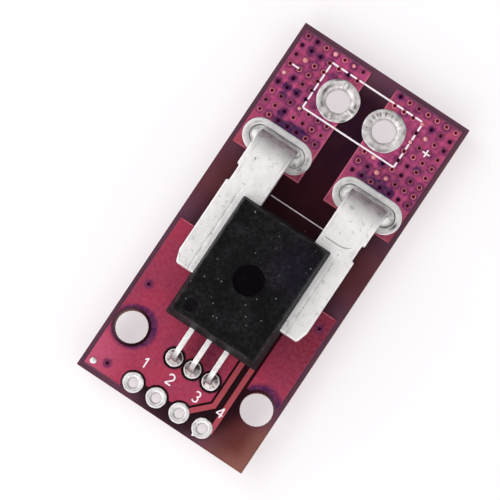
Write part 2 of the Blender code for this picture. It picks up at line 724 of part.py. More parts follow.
def core_solid(name, grow=0.0):
    """C of the flux core: its back lies in the yoke's upper notch, its legs pass the waist."""
    back_inner = BODY_Y + WAIST_WIDTH / 2 + FIT_GAP - grow
    back_outer = back_inner + CORE_THICKNESS + 2 * grow
    tips = BODY_Y - CORE_REACH - grow
    inside = CONDUCTOR_THICKNESS / 2 + FIT_GAP - grow
    outside = CONDUCTOR_THICKNESS / 2 + FIT_GAP + CORE_THICKNESS + grow
    outline = [
        (tips, PARTING_LEVEL + outside),
        (back_outer, PARTING_LEVEL + outside),
        (back_outer, PARTING_LEVEL - outside),
        (tips, PARTING_LEVEL - outside),
        (tips, PARTING_LEVEL - inside),
        (back_inner, PARTING_LEVEL - inside),
        (back_inner, PARTING_LEVEL + inside),
        (tips, PARTING_LEVEL + inside),
    ]
    half = CORE_WIDTH / 2 + grow
    return flat_solid(name, [outline], SENSOR_X - half, SENSOR_X + half, side_view=True)


def chip_y():
    """Middle of the Hall chip along Y, just past the yoke's lower edge."""
    return BODY_Y - WING_END - CHIP_TO_YOKE - CHIP_LENGTH / 2


def chip_solid(name, grow=0.0):
    size = (CHIP_WIDTH + 2 * grow, CHIP_LENGTH + 2 * grow, CHIP_THICKNESS + 2 * grow)
    return block(name, size, (SENSOR_X, chip_y(), PARTING_LEVEL))


def lead_solid(name, x, grow=0.0):
    """Signal lead from beside the chip, out of the moulding, bent down through the board."""
    start = chip_y() - CHIP_LENGTH / 2 - FIT_GAP
    outline = folded_strip(
        start, SIGNAL_Y, PARTING_LEVEL, 0.0, LEAD_THICKNESS, LEAD_BEND_RADIUS, grow
    )
    half = LEAD_WIDTH / 2 + grow
    return flat_solid(name, [outline], x - half, x + half, side_view=True)


def body_blank():
    """Two drafted mould halves that meet at the parting level."""
    shell = bmesh.new()
    bmesh.ops.create_cube(shell, size=1.0)
    bmesh.ops.scale(shell, vec=(BODY_WIDTH, BODY_LENGTH, BODY_HEIGHT), verts=shell.verts)
    bmesh.ops.translate(shell, vec=(0.0, 0.0, BODY_HEIGHT / 2), verts=shell.verts)
    everything = shell.verts[:] + shell.edges[:] + shell.faces[:]
    bmesh.ops.bisect_plane(
        shell, geom=everything, dist=WELD, plane_co=(0, 0, PARTING_HEIGHT), plane_no=(0, 0, 1)
    )
    for vertex in shell.verts:
        if abs(vertex.co.z - PARTING_HEIGHT) > WELD:
            vertex.co.x -= math.copysign(BODY_DRAFT, vertex.co.x)
            vertex.co.y -= math.copysign(BODY_DRAFT, vertex.co.y)
    mesh = bpy.data.meshes.new("package_body")
    shell.to_mesh(mesh)
    shell.free()
    blank = bpy.data.objects.new("package_body", mesh)
    blank.location = (SENSOR_X, BODY_Y, BODY_LOW)
    return blank


def make_body(finishes):
    """Moulding with its ejector recess, pin-one dimple and the cavities of what it holds."""
    body = body_blank()
    soften(body, BODY_EDGE, segments=2)
    top = BODY_LOW + BODY_HEIGHT
    recess = round_outline(RECESS_RADIUS, RECESS_SIDES, (SENSOR_X, BODY_Y))
    boolean(body, flat_solid("recess", [recess], top - RECESS_DEPTH, top + CUT_OVER), "DIFFERENCE")
    dimple_place = (
        SENSOR_X - BODY_WIDTH / 2 + DIMPLE_FROM_SIDE,
        BODY_Y - BODY_LENGTH / 2 + DIMPLE_FROM_END,
    )
    dimple = round_outline(DIMPLE_RADIUS, RECESS_SIDES // 2, dimple_place)
    boolean(body, flat_solid("dimple", [dimple], top - DIMPLE_DEPTH, top + CUT_OVER), "DIFFERENCE")
    boolean(body, conductor_solid("conductor_cavity", FIT_GAP), "DIFFERENCE")
    boolean(body, core_solid("core_cavity", FIT_GAP), "DIFFERENCE")
    boolean(body, chip_solid("chip_cavity", FIT_GAP), "DIFFERENCE")
    for k, (x, _) in enumerate(row(SIGNAL_COUNT, LEAD_PITCH, LEAD_CENTRE_X, SIGNAL_Y)):
        boolean(body, lead_solid(f"lead_cavity_{k + 1}", x, FIT_GAP), "DIFFERENCE")
    return place_part(body, finishes["moulding"])


def make_inner_parts(finishes):
    place_part(core_solid("flux_core"), finishes["core"])
    place_part(chip_solid("hall_chip"), finishes["chip"])


def make_conductor(finishes):
    return place_part(conductor_solid("primary_conductor"), finishes["tinned"])


def make_leads(finishes):
    for k, (x, _) in enumerate(row(SIGNAL_COUNT, LEAD_PITCH, LEAD_CENTRE_X, SIGNAL_Y)):
        place_part(lead_solid(f"signal_lead_{k + 1}", x), finishes["tinned"])


def make_slot_solder(finishes):
    """Solder that fills each slot round its leg, with a low fillet on both faces."""
    fill = SLOT_RADIUS - FIT_GAP
    spread = SLOT_RADIUS + SLOT_RIM + SLOT_SOLDER_PAST_RIM
    spread_below = SLOT_RADIUS + SLOT_UNDERSIDE_SPREAD
    high = PAD_TOP + FIT_GAP
    low = PAD_BOTTOM - FIT_GAP
    profile = [
        (0.0, high + SLOT_SOLDER_HEIGHT),
        (fill - SLOT_SOLDER_INSET, high + SLOT_SOLDER_HEIGHT),
        (spread, high + SOLDER_FEATHER),
        (spread, high),
        (fill, high),
        (fill, low),
        (spread_below, low),
        (spread_below, low - SOLDER_FEATHER),
        (fill, low - SLOT_UNDERSIDE_EDGE_HEIGHT),
        (0.0, low - SLOT_UNDERSIDE_HEIGHT),
    ]
    for sign, place in zip(("minus", "plus"), SLOT_PLACES):
        solder = turned_solid(
            f"slot_solder_{sign}", profile, SLOT_SIDES, place, SLOT_HALF_STRAIGHT, closed=False
        )
        place_part(solder, finishes["solder"], smooth=True)
        boolean(solder, conductor_solid(f"leg_space_{sign}", FIT_GAP), "DIFFERENCE")


def make_signal_solder(finishes):
    """Solder cones round the signal leads on both faces, joined through the barrel."""
    fill = SIGNAL_BORE_RADIUS - FIT_GAP
    spread = SIGNAL_PAD_RADIUS - FIT_GAP
    collar = LEAD_WIDTH / 2 + SIGNAL_SOLDER_COLLAR
    high = PAD_TOP + FIT_GAP
    low = PAD_BOTTOM - FIT_GAP
    profile = [
        (0.0, high + SIGNAL_SOLDER_HEIGHT),
        (collar, high + SIGNAL_SOLDER_COLLAR_HEIGHT),
        (spread - SIGNAL_SOLDER_SHOULDER_INSET, high + SIGNAL_SOLDER_SHOULDER_HEIGHT),
        (spread, high + SOLDER_FEATHER),
        (spread, high),
        (fill, high),
        (fill, low),
        (spread, low),
        (spread, low - SOLDER_FEATHER),
        (spread - SIGNAL_UNDERSIDE_WAIST_INSET, low - SIGNAL_UNDERSIDE_WAIST_HEIGHT),
        (collar, low - SIGNAL_UNDERSIDE_HEIGHT),
        (0.0, low - SIGNAL_UNDERSIDE_HEIGHT),
    ]
    leads = row(SIGNAL_COUNT, LEAD_PITCH, LEAD_CENTRE_X, SIGNAL_Y)
    for k, place in enumerate(SIGNAL_PLACES):
        solder = turned_solid(
            f"signal_solder_{k + 1}", profile, SIGNAL_SIDES, place, closed=False
        )
        place_part(solder, finishes["solder"], smooth=True)
        space = lead_solid(f"lead_space_{k + 1}", leads[k][0], FIT_GAP)
        boolean(solder, space, "DIFFERENCE")


def make_test_dot(finishes):
    """Small tinned dot near the lower left corner."""
    place = (
        -BOARD_WIDTH / 2 + TEST_DOT_FROM_CORNER,
        -BOARD_LENGTH / 2 + TEST_DOT_FROM_CORNER,
    )
    low = BOARD_TOPSIDE + FIT_GAP
    profile = [
        (0.0, low + TEST_DOT_HEIGHT),
        (TEST_DOT_RADIUS - TEST_DOT_SHOULDER_INSET, low + TEST_DOT_SHOULDER_HEIGHT),
        (TEST_DOT_RADIUS, low + TEST_DOT_EDGE_HEIGHT),
        (TEST_DOT_RADIUS, low),
        (0.0, low),
    ]
    dot = turned_solid("test_dot", profile, SIGNAL_SIDES, place, closed=False)
    return place_part(dot, finishes["solder"], smooth=True)


clear_scene()
PARTS = new_collection("hall_current_sensor")
TOOLS = new_collection("cutting_tools")


def main():
    finishes = make_finishes()
    make_laminate(finishes)
    make_power_copper(-1, finishes)
    make_power_copper(1, finishes)
    make_ground_copper(finishes)
    make_tracks(finishes)
    make_plated_holes(finishes)
    make_inner_parts(finishes)
    make_body(finishes)
    make_conductor(finishes)
    make_leads(finishes)
    make_slot_solder(finishes)
    make_signal_solder(finishes)
    make_test_dot(finishes)


main()
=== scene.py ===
"""Finish of a hall effect current sensor module: solder mask, tin, solder, moulding and print.

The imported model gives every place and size. New pieces are surfaces worked out with numpy
that stand for the plated rings, the folded conductor, the leads, the solder and the moulding.
"""
import math

import bpy
import numpy as np
from bpy.props import FloatProperty, FloatVectorProperty, IntProperty, PointerProperty
from mathutils import Matrix, Vector


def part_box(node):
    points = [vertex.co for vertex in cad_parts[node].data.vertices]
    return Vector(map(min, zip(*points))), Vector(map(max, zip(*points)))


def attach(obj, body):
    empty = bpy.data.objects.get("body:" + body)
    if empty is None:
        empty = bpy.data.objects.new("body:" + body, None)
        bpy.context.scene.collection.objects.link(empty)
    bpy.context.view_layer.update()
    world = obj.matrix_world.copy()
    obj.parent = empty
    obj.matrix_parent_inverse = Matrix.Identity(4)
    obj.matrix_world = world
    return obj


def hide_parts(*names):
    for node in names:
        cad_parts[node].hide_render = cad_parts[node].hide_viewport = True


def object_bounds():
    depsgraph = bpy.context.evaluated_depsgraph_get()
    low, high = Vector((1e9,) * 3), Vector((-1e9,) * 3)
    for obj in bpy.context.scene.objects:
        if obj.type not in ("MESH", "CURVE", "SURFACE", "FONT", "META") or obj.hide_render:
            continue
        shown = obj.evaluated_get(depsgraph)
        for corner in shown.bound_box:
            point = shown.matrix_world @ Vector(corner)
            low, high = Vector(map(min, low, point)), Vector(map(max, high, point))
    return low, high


bl_info = {
    "name": "Current sensor module finish",
    "version": (1, 0, 0),
    "blender": (4, 5, 0),
    "location": "View3D > Sidebar > Sensor module",
    "description": "Builds the visible surfaces of a board-mounted hall effect current sensor",
    "category": "Object",
}

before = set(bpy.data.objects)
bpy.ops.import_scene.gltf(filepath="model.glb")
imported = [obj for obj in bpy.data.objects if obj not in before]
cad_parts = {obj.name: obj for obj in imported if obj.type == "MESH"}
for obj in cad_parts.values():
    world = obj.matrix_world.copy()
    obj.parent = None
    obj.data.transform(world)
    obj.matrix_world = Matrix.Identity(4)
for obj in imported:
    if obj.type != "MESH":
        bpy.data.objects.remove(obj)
CAD_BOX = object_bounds()
BODY = "root"
MM = 0.001

HEADER_RINGS = tuple(f"header_ring_{k}" for k in (1, 2, 3, 4))
SIGNAL_RINGS = tuple(f"signal_ring_{k}" for k in (1, 2, 3))
POLES = ("minus", "plus")

# Pads stand proud of the masked copper, and the masked copper of the masked laminate
PAD_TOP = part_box("header_ring_1")[1].z
PAD_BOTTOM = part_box("header_ring_1")[0].z
COPPER_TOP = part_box("ground_copper")[1].z
COPPER_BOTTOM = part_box("ground_copper")[0].z
BOARD_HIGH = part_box("board_laminate")[1]
LAMINATE_TOP = BOARD_HIGH.z


def length(name, description, value_mm, low_mm=0.0):
    """A size property, given in millimetres and kept in metres."""
    return FloatProperty(
        name=name, description=description, default=value_mm * MM, min=low_mm * MM,
        unit="LENGTH", precision=5,
    )


def linear(hexcode):
    """Linear RGBA of an sRGB hex colour."""
    channels = [int(hexcode[k:k + 2], 16) / 255 for k in (1, 3, 5)]
    low = [c / 12.92 for c in channels]
    high = [((c + 0.055) / 1.055) ** 2.4 for c in channels]
    return tuple(a if c <= 0.04045 else b for a, b, c in zip(low, high, channels)) + (1.0,)


def colour(name, description, hexcode):
    """A colour property from its sRGB hex value."""
    return FloatVectorProperty(
        name=name, description=description, default=linear(hexcode), size=4,
        subtype="COLOR", min=0.0, max=1.0,
    )


class SensorSizes(bpy.types.PropertyGroup):
    """Sizes of the pieces that this file makes."""

    header_bore: length("Header bore", "Radius of the header holes", 0.47)
    terminal_bore: length("Terminal bore", "Radius of the current terminal holes", 1.13)
    signal_bore: length("Signal bore", "Radius of the signal lead holes", 0.5)
    slot_bore: length("Slot bore", "Half width of the slots for the conductor legs", 0.95)
    plating: length("Plating", "Wall of the plated barrels", 0.06)
    terminal_plating: length("Terminal plating", "Wall of the terminal barrels", 0.14)
    header_wetting: length("Header wetting", "How far solder slopes into a header hole", 0.18)
    terminal_wetting: length("Terminal wetting", "How far solder slopes into a terminal", 0.33)
    slot_wetting: length("Slot wetting", "How far the tin slopes into a slot", 0.12)
    tin_crown: length("Tin crown", "Height of the levelled tin on a pad", 0.035)
    strip_thickness: length("Strip thickness", "Thickness of the folded conductor", 1.5)
    strip_bend: length("Strip bend", "Inside radius of the conductor's bend", 1.0)
    leg_gap: length("Leg gap", "Open width between the two legs", 6.0)
    strip_edge: length("Strip edge", "Rounding of the stamped strip", 0.11)
    wing_chamfer_width: length("Wing chamfer width", "Chamfer at a wing's end, across", 0.38)
    wing_chamfer_length: length("Wing chamfer length", "Chamfer at a wing's end, along", 1.2)
    notch_depth: length("Notch depth", "Step in a wing's outer edge", 0.25)
    notch_start: length("Notch start", "From the moulding to the notch", 0.25)
    notch_length: length("Notch length", "Length of the notch", 1.75)
    witness_line: length("Witness line", "From the moulding to the line its tool left", 0.42)
    lead_thickness: length("Lead thickness", "Thickness of a signal lead", 0.38)
    lead_bend: length("Lead bend", "Inside radius of a lead's bend", 0.8)
    lead_edge: length("Lead edge", "Rounding of a signal lead", 0.07)
    draft: length("Draft", "How far the moulding narrows from its parting line", 0.45)
    parting: length("Parting", "Height of the parting line above the moulding's base", 2.15)
    corner: length("Corner", "Radius of the moulding's upright corners", 0.22)
    edge: length("Edge", "Rounding of the moulding's top and bottom edges", 0.1)
    recess_radius: length("Recess radius", "Radius of the round recess", 1.5)
    recess_depth: length("Recess depth", "Depth of the round recess", 0.25)
    dimple_radius: length("Dimple radius", "Radius of the pin-one dimple", 0.68)
    dimple_depth: length("Dimple depth", "Depth of the pin-one dimple", 0.15)
    dimple_from_side: length("Dimple from side", "From the moulding's side to the dimple", 1.85)
    dimple_from_end: length("Dimple from end", "From the moulding's end to the dimple", 1.8)
    via_pitch: length("Via pitch", "Spacing of the stitching vias", 1.016)
    via_bore: length("Via bore", "Radius of a via's open hole", 0.125)
    via_mouth: length("Via mouth", "Radius of a via's dark mouth", 0.17)
    via_land: length("Via land", "Radius of the metal round a via", 0.26)
    via_to_edge: length("Via to edge", "From the copper's upper edge to the first row", 0.5)
    via_shift: length("Via shift", "How far the grid lies outside the copper's middle", 0.1)
    via_to_pad: length("Via to pad", "Clearance between a via and a pad", 0.3)
    print_line: length("Print line", "Width of the printed outline", 0.18)
    print_stroke: length("Print stroke", "Width of the printed figures", 0.15)
    print_hair: length("Print hair", "Width of the line between the legs", 0.11)
    print_thickness: length("Print thickness", "Thickness of the ink", 0.03)
    figure_height: length("Figure height", "Height of the printed figures", 1.0)


class SensorColours(bpy.types.PropertyGroup):
    """Colours of the finishes."""

    mask_signal: colour("Mask, signal half", "Mask over the ground copper", "#A2304B")
    mask_power: colour("Mask, power half", "Mask over the power copper", "#BC4679")
    mask_warm: colour("Mask, warm corner", "Thin mask near the slots", "#A9443F")
    # Painted shade on the ground copper: round the leads below the moulding, and at its right edge
    mask_painted_shade: colour("Mask, fluxed", "Mask darkened by flux between the leads", "#601024")
    # Painted reflection: a paler patch of mask in the ground copper's lower left corner
    mask_painted_reflection: colour("Mask, paler", "Mask that ran thin over the ground copper", "#D96183")
    mask_halo: colour("Mask, halo", "Thick mask drawn in round a via", "#5E164C")
    mask_blot: colour("Mask, blot", "Heat-darkened mask beside the slots", "#1C0A46")
    # Thick mask round the mounting holes, with painted shade on the side each halo leans to
    mask_thick_and_shaded: colour("Mask, rim", "Thick mask beside the mounting holes", "#320642")
    mask_track: colour("Mask, tracks", "Mask over the narrow tracks", "#A4474F")
    mask_bare: colour("Mask, bare laminate", "Mask over laminate between the terminals", "#22061A")
    mask_bare_low: colour("Mask, bare laminate, low", "The same beside the moulding", "#2C0412")
    mask_gap: colour("Mask, gap", "Mask in the narrow gaps between copper areas", "#12050B")
    mask_edge: colour("Mask, board edge", "Mask over laminate near the edges", "#5E3A4C")
    mask_corner: colour("Mask, clear corner", "Mask with no copper under it", "#69332F")
    mask_lit: colour("Mask, lit edge", "The same at the board's edge, lit through", "#94635A")
    laminate: colour("Laminate", "Cut edge of the glass-epoxy", "#8C7B58")
    tin: colour("Tin plate", "Conductor and leads", "#F6F3F3")
    solder: colour("Levelled tin", "Tin levelled with hot air", "#EFECEC")
    solder_old: colour("Terminal tin", "Tin on the terminals, a little tarnished", "#EEEAE9")
    solder_hand: colour("Hand solder", "Solder round the signal leads", "#CDC5C3")
    # Stains, and painted shade and reflection in the solder's creases and contours
    flux: colour("Flux", "Burnt flux in the creases of the solder", "#2C2526")
    # Also the painted shade on the bends of the conductor and the leads
    solder_dark: colour("Solder, dark", "Flux-dulled solder in the creases", "#5E5557")
    moulding: colour("Moulding", "Black epoxy", "#070507")
    moulding_bloom: colour("Moulding bloom", "Violet bloom of the mould release", "#140E22")
    # Also a painted highlight along the moulding's rounded edges and walls
    moulding_dust: colour("Moulding dust", "Grey filler that shows at rubbed edges", "#3A383B")
    via_metal: colour("Via metal", "Copper-toned rim of a via", "#DC868C")
    via_mouth: colour("Via mouth", "Mask-stained wall inside a via", "#6E1230")
    via_deep: colour("Via, deep", "Wall inside a via that thick mask half closes", "#240320")
    via_plug: colour("Via plug", "Solder that closed a via, under a film of mask", "#F0B4B0")
    mask_thin: colour("Mask, thin", "Mask stretched thin over the copper's edges", "#CC6E80")
    laminate_dark: colour("Laminate, shaded", "Glass-epoxy under thick mask", "#170410")
    ink: colour("Ink", "Printed lines and figures", "#F3E8EE")
    iron: colour("Iron", "Flux core", "#77736F")
    silicon: colour("Silicon", "Hall chip", "#4A4A55")
    floor: colour("Floor", "Floor", "#FFFFFF")
    floor_shade: colour("Floor, shaded", "Tone of the floor where the board shades it", "#FFF7FB")


class SensorStage(bpy.types.PropertyGroup):
    """Camera and light of the product photograph."""

    aim_x: length("Aim X", "Point under the picture's middle, across the board", -1.644, -50)
    aim_y: length("Aim Y", "Point under the picture's middle, along the board", -1.458, -50)
    distance: length("Distance", "From that point to the camera", 347.2)
    elevation: FloatProperty(
        name="Elevation", description="Camera above the horizon",
        default=math.radians(84.85), subtype="ANGLE",
    )
    azimuth: FloatProperty(
        name="Azimuth", description="Side that the camera leans to",
        default=math.radians(41.88), subtype="ANGLE",
    )
    heading: FloatProperty(
        name="Heading", description="Turn of the picture on the board",
        default=math.radians(33.64), subtype="ANGLE",
    )
    lens: FloatProperty(
        name="Lens", description="Focal length on a 36 mm sensor, in millimetres", default=270.8
    )
    sky: FloatProperty(name="Sky", description="Even light from the sides", default=1.45)
    overhead: FloatProperty(
        name="Overhead", description="Share of that light round the camera", default=0.06
    )
    far_side: FloatProperty(
        name="Far side", description="Share of that light from beyond the terminals", default=0.12
    )
    dark_start: FloatProperty(
        name="Dark start", description="Half angle of the dark opening round the camera",
        default=math.radians(12), subtype="ANGLE",
    )
    dark_end: FloatProperty(
        name="Dark end", description="Half angle at which the light is full",
        default=math.radians(32), subtype="ANGLE",
    )
    softbox: FloatProperty(name="Softbox", description="Watts of each softbox", default=0.5)
    floor_glow: FloatProperty(
        name="Floor glow", description="Share of the floor's brightness that needs no light",
        default=0.55,
    )
    arc_steps: IntProperty(name="Arc steps", description="Faces round a ring", default=96)


def sizes():
    """Sizes that this scene holds."""
    return bpy.context.scene.sensor_sizes


def colours():
    """Colours that this scene holds."""
    return bpy.context.scene.sensor_colours


# Mesh tools


def label_points(mesh, label, values):
    """Store one value at each point of a mesh under a label."""
    layer = mesh.attributes.new(label, "FLOAT", "POINT")
    layer.data.foreach_set("value", values.astype(np.float32))


def surface(name, points, around=True, along=False, attributes=None):
    """Mesh of a grid of points: row k is one station along v, its columns run along u.

    around closes the columns into a ring, along closes the rows. Open rows are capped with a
    fan to the middle of the first and last row. Attributes are arrays of one value a point.
    """
    rows, columns, _ = points.shape
    index = np.arange(rows * columns).reshape(rows, columns)
    if around:
        index = np.concatenate([index, index[:, :1]], axis=1)
    if along:
        index = np.concatenate([index, index[:1]], axis=0)
    corners = [index[:-1, :-1], index[:-1, 1:], index[1:, 1:], index[1:, :-1]]
    quads = np.stack(corners, axis=-1).reshape(-1, 4)
    vertices = points.reshape(-1, 3)
    faces = quads.tolist()
    if around and not along:
        caps = np.stack([points[0].mean(axis=0), points[-1].mean(axis=0)])
        first = np.full(len(index[0]) - 1, len(vertices))
        faces += np.stack([index[0, 1:], index[0, :-1], first], axis=-1).tolist()
        faces += np.stack([index[-1, :-1], index[-1, 1:], first + 1], axis=-1).tolist()
        vertices = np.concatenate([vertices, caps])
    mesh = bpy.data.meshes.new(name)
    mesh.from_pydata(vertices.tolist(), [], faces)
    for label, values in (attributes or {}).items():
        grid = values.reshape(rows, columns)
        flat = grid.reshape(-1)
        if len(vertices) > flat.size:
            flat = np.concatenate([flat, [grid[0].mean(), grid[-1].mean()]])
        label_points(mesh, label, flat)
    return mesh


def joined(name, meshes):
    """One mesh of several closed shells, with their attributes."""
    vertices = []
    faces = []
    values = {}
    start = 0
    for mesh in meshes:
        count = len(mesh.vertices)
        co = np.empty(count * 3, np.float32)
        mesh.vertices.foreach_get("co", co)
        vertices.append(co.reshape(-1, 3))
        totals = np.empty(len(mesh.polygons), np.int32)
        mesh.polygons.foreach_get("loop_total", totals)
        corners = np.empty(len(mesh.loops), np.int32)
        mesh.loops.foreach_get("vertex_index", corners)
        faces += [part.tolist() for part in np.split(corners + start, np.cumsum(totals)[:-1])]
        for layer in mesh.attributes:
            if layer.data_type == "FLOAT" and layer.domain == "POINT":
                found = np.empty(count, np.float32)
                layer.data.foreach_get("value", found)
                values.setdefault(layer.name, []).append((start, found))
        start += count
        bpy.data.meshes.remove(mesh)
    whole = bpy.data.meshes.new(name)
    whole.from_pydata(np.concatenate(vertices).tolist(), [], faces)
    for label, parts in values.items():
        flat = np.zeros(start, np.float32)
        for first, found in parts:
            flat[first:first + len(found)] = found
        label_points(whole, label, flat)
    return whole


def piece(name, mesh, material, stands_for=(), sharp_degrees=40.0):
    """Put a finished mesh on the module, in place of the nodes that it stands for."""
    mesh.name = name
    mesh.shade_smooth()
    mesh.set_sharp_from_angle(angle=math.radians(sharp_degrees))
    mesh.materials.append(material)
    thing = bpy.data.objects.new(name, mesh)
    bpy.context.scene.collection.objects.link(thing)
    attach(thing, BODY)
    if stands_for:
        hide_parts(*stands_for)
    return thing


def ease(t):
    """Smooth step from 0 to 1 as t goes from 0 to 1."""
    t = np.clip(t, 0.0, 1.0)
    return t * t * (3 - 2 * t)


def ripple(turn, seed, waves=9, lowest=1):
    """Random wave that closes on itself: sines of whole numbers of turns, in -1 to 1."""
    rng = np.random.default_rng(seed)
    total = np.zeros_like(turn)
    weight = 0.0
    for k in range(lowest, lowest + waves):
        share = 1.0 / math.sqrt(k)
        total += share * np.sin(math.tau * (k * turn + rng.random()))
        weight += share
    return total / weight * 1.8


def wander(x, y, spacing, seed, waves=14):
    """Random soft relief over a plane: sines of about one spacing in random directions."""
    rng = np.random.default_rng(seed)
    total = np.zeros(np.broadcast(x, y).shape)
    for _ in range(waves):
        angle = rng.random() * math.tau
        pitch = spacing * (0.6 + rng.random())
        phase = rng.random() * math.tau
        total += np.sin(math.tau * (x * math.cos(angle) + y * math.sin(angle)) / pitch + phase)
    return total / math.sqrt(waves)


def oblong(half_straight, arc_steps, straight_steps=0):
    """Path round a circle, or round one whose halves are moved apart in X.

    Gives each station's centre, its outward direction and its share of the whole turn.
    """
    angles = np.arange(arc_steps) / arc_steps * math.tau
    if not half_straight:
        centres = np.zeros((arc_steps, 2))
        outward = np.stack([np.cos(angles), np.sin(angles)], axis=-1)
        return centres, outward, angles / math.tau
    half = np.linspace(-math.pi / 2, math.pi / 2, arc_steps // 2 + 1)
    run = np.linspace(half_straight, -half_straight, straight_steps + 2)[1:-1]
    right = np.stack([np.full_like(half, half_straight), np.zeros_like(half)], axis=-1)
    top = np.stack([run, np.zeros_like(run)], axis=-1)
    centres = np.concatenate([right, top, -right, -top])
    away = np.stack([np.cos(half), np.sin(half)], axis=-1)
    up = np.tile([0.0, 1.0], (len(run), 1))
    outward = np.concatenate([away, up, -away, -up])
    return centres, outward, np.arange(len(centres)) / len(centres)


def carry(profile, centres, outward, place):
    """Points of a profile of (reach, z) carried round a path: place + centre + outward * reach.

    The profile runs up its outer side, so that faces look outwards. It may change along the path.
    """
    if profile.ndim == 2:
        profile = profile[:, None, :]
    plan = centres[None] + outward[None] * profile[..., :1]
    return placed(plan, np.broadcast_to(profile[..., 1], plan.shape[:2]), place)


def placed(plan, height, place):
    """Points of a plan that is moved to a place, at their heights."""
    return np.stack([plan[..., 0] + place[0], plan[..., 1] + place[1], height], axis=-1)


# Materials


def feed(tree, node, inputs):
    """Set sockets of a node to values, or link them to the outputs given instead."""
    for socket, source in inputs.items():
        if isinstance(source, bpy.types.NodeSocket):
            tree.links.new(source, node.inputs[socket])
        elif source is not None:
            node.inputs[socket].default_value = source


def add(tree, kind, inputs=None, **settings):
    """Add a node with its settings and what its sockets get."""
    node = tree.nodes.new(kind)
    for name, value in settings.items():
        setattr(node, name, value)
    feed(tree, node, inputs or {})
    return node


def blank_material(name):
    """A material with only its output, its Principled shader and object coordinates."""
    material = bpy.data.materials.new(name)
    material.use_nodes = True
    tree = material.node_tree
    tree.nodes.clear()
    shader = add(tree, "ShaderNodeBsdfPrincipled")
    output = add(tree, "ShaderNodeOutputMaterial")
    tree.links.new(shader.outputs["BSDF"], output.inputs["Surface"])
    place = add(tree, "ShaderNodeTexCoord").outputs["Object"]
    return material, tree, shader, place


def mix(tree, factor, low, high):
    """Colour between two colours or outputs, by an output from 0 to 1."""
    return add(
        tree, "ShaderNodeMix", {0: factor, 6: low, 7: high}, data_type="RGBA"
    ).outputs[2]


def scaled(tree, value, start, end, low=0.0, high=1.0, smooth=False):
    """Output that goes from low to high while a value goes from start to end."""
    return add(
        tree, "ShaderNodeMapRange",
        {"From Min": start, "From Max": end, "To Min": low, "To Max": high, "Value": value},
        interpolation_type="SMOOTHSTEP" if smooth else "LINEAR",
    ).outputs["Result"]


def between(tree, share, low, high):
    """Output between two numbers, by a share from 0 to 1."""
    return scaled(tree, share, 0.0, 1.0, low, high)


def coat(tree, base, tint, share, amount):
    """Colour of a base under a tint that covers a share of it, times an amount."""
    return mix(tree, times(tree, share, amount), base, tint)


def painted(tree, label):
    """The value that a mesh carries at its points under a label."""
    return add(tree, "ShaderNodeAttribute", attribute_name=label).outputs["Fac"]


def near(tree, place, centre, inner_mm, outer_mm):
    """1 within an inner radius of a point in metres, falling smoothly to 0 at an outer one."""
    gap = add(tree, "ShaderNodeVectorMath", {1: centre, 0: place}, operation="DISTANCE")
    inner, outer = inner_mm * MM, outer_mm * MM
    return scaled(tree, gap.outputs["Value"], inner, outer, 1.0, 0.0, smooth=True)


def calculate(tree, operation, first, second=None):
    """One step of arithmetic between outputs or numbers."""
    return add(tree, "ShaderNodeMath", {0: first, 1: second}, operation=operation).outputs[0]


def times(tree, first, second):
    return calculate(tree, "MULTIPLY", first, second)


def plus(tree, first, second):
    return calculate(tree, "ADD", first, second)


def minus(tree, first, second):
    return calculate(tree, "SUBTRACT", first, second)


def least(tree, first, second):
    return calculate(tree, "MINIMUM", first, second)


def unsigned(tree, value):
    return calculate(tree, "ABSOLUTE", value)


def noise(tree, place, grain_mm, detail=2.0, low=0.0, high=1.0):
    """Soft noise whose grain is about the given size, spread from 0 to 1 between two levels."""
    node = add(
        tree, "ShaderNodeTexNoise",
        {"Scale": 1 / (grain_mm * MM), "Detail": detail, "Vector": place},
    )
    return scaled(tree, node.outputs["Fac"], low, high)


def spots(tree, place, pitch_mm, radius_mm, chance):
    """1 in round specks of varied size, scattered at about the given pitch, else 0."""
    cells = add(
        tree, "ShaderNodeTexVoronoi", {"Scale": 1 / (pitch_mm * MM), "Vector": place}, feature="F1"
    )
    dice = add(tree, "ShaderNodeSeparateColor", {"Color": cells.outputs["Color"]})
    reach = times(tree, dice.outputs["Green"], radius_mm / pitch_mm)
    inside = calculate(tree, "LESS_THAN", cells.outputs["Distance"], reach)
    chosen = calculate(tree, "LESS_THAN", dice.outputs["Red"], chance)
    return times(tree, inside, chosen)


def relief(tree, shader, height, depth_mm):
    """Bump of a real depth on the shader."""
    bump = add(
        tree, "ShaderNodeBump", {"Strength": 1.0, "Distance": depth_mm * MM, "Height": height}
    )
    feed(tree, shader, {"Normal": bump.outputs["Normal"]})


def dress(tree, shader, shade, rough, grain, depth_mm, others=None):
    """Give a shader its colour, roughness and other inputs, and the relief of a grain."""
    feed(tree, shader, {"Base Color": shade, **(others or {}), "Roughness": rough})
    relief(tree, shader, grain, depth_mm)


MASK_GLOSS = {"IOR": 1.52, "Specular IOR Level": 0.3}

# Heat-darkened spots of the mask: x, y and radius in millimetres
BLOTS = (
    (-4.9, 9.95, 0.8), (-4.35, 9.95, 0.75), (-3.85, 10.05, 0.75), (-5.6, 9.9, 0.55),
    (-6.2, 9.95, 0.55), (-7.19, 13.15, 0.5), (-7.1, 12.2, 0.5), (-6.15, 13.1, 0.5),
    (-6.36, 10.74, 0.45), (3.2, 10.05, 0.65), (4.1, 9.95, 0.7), (4.85, 10.05, 0.75),
    (5.5, 10.0, 0.65), (6.0, 10.05, 0.6), (7.1, 13.2, 0.5),
)
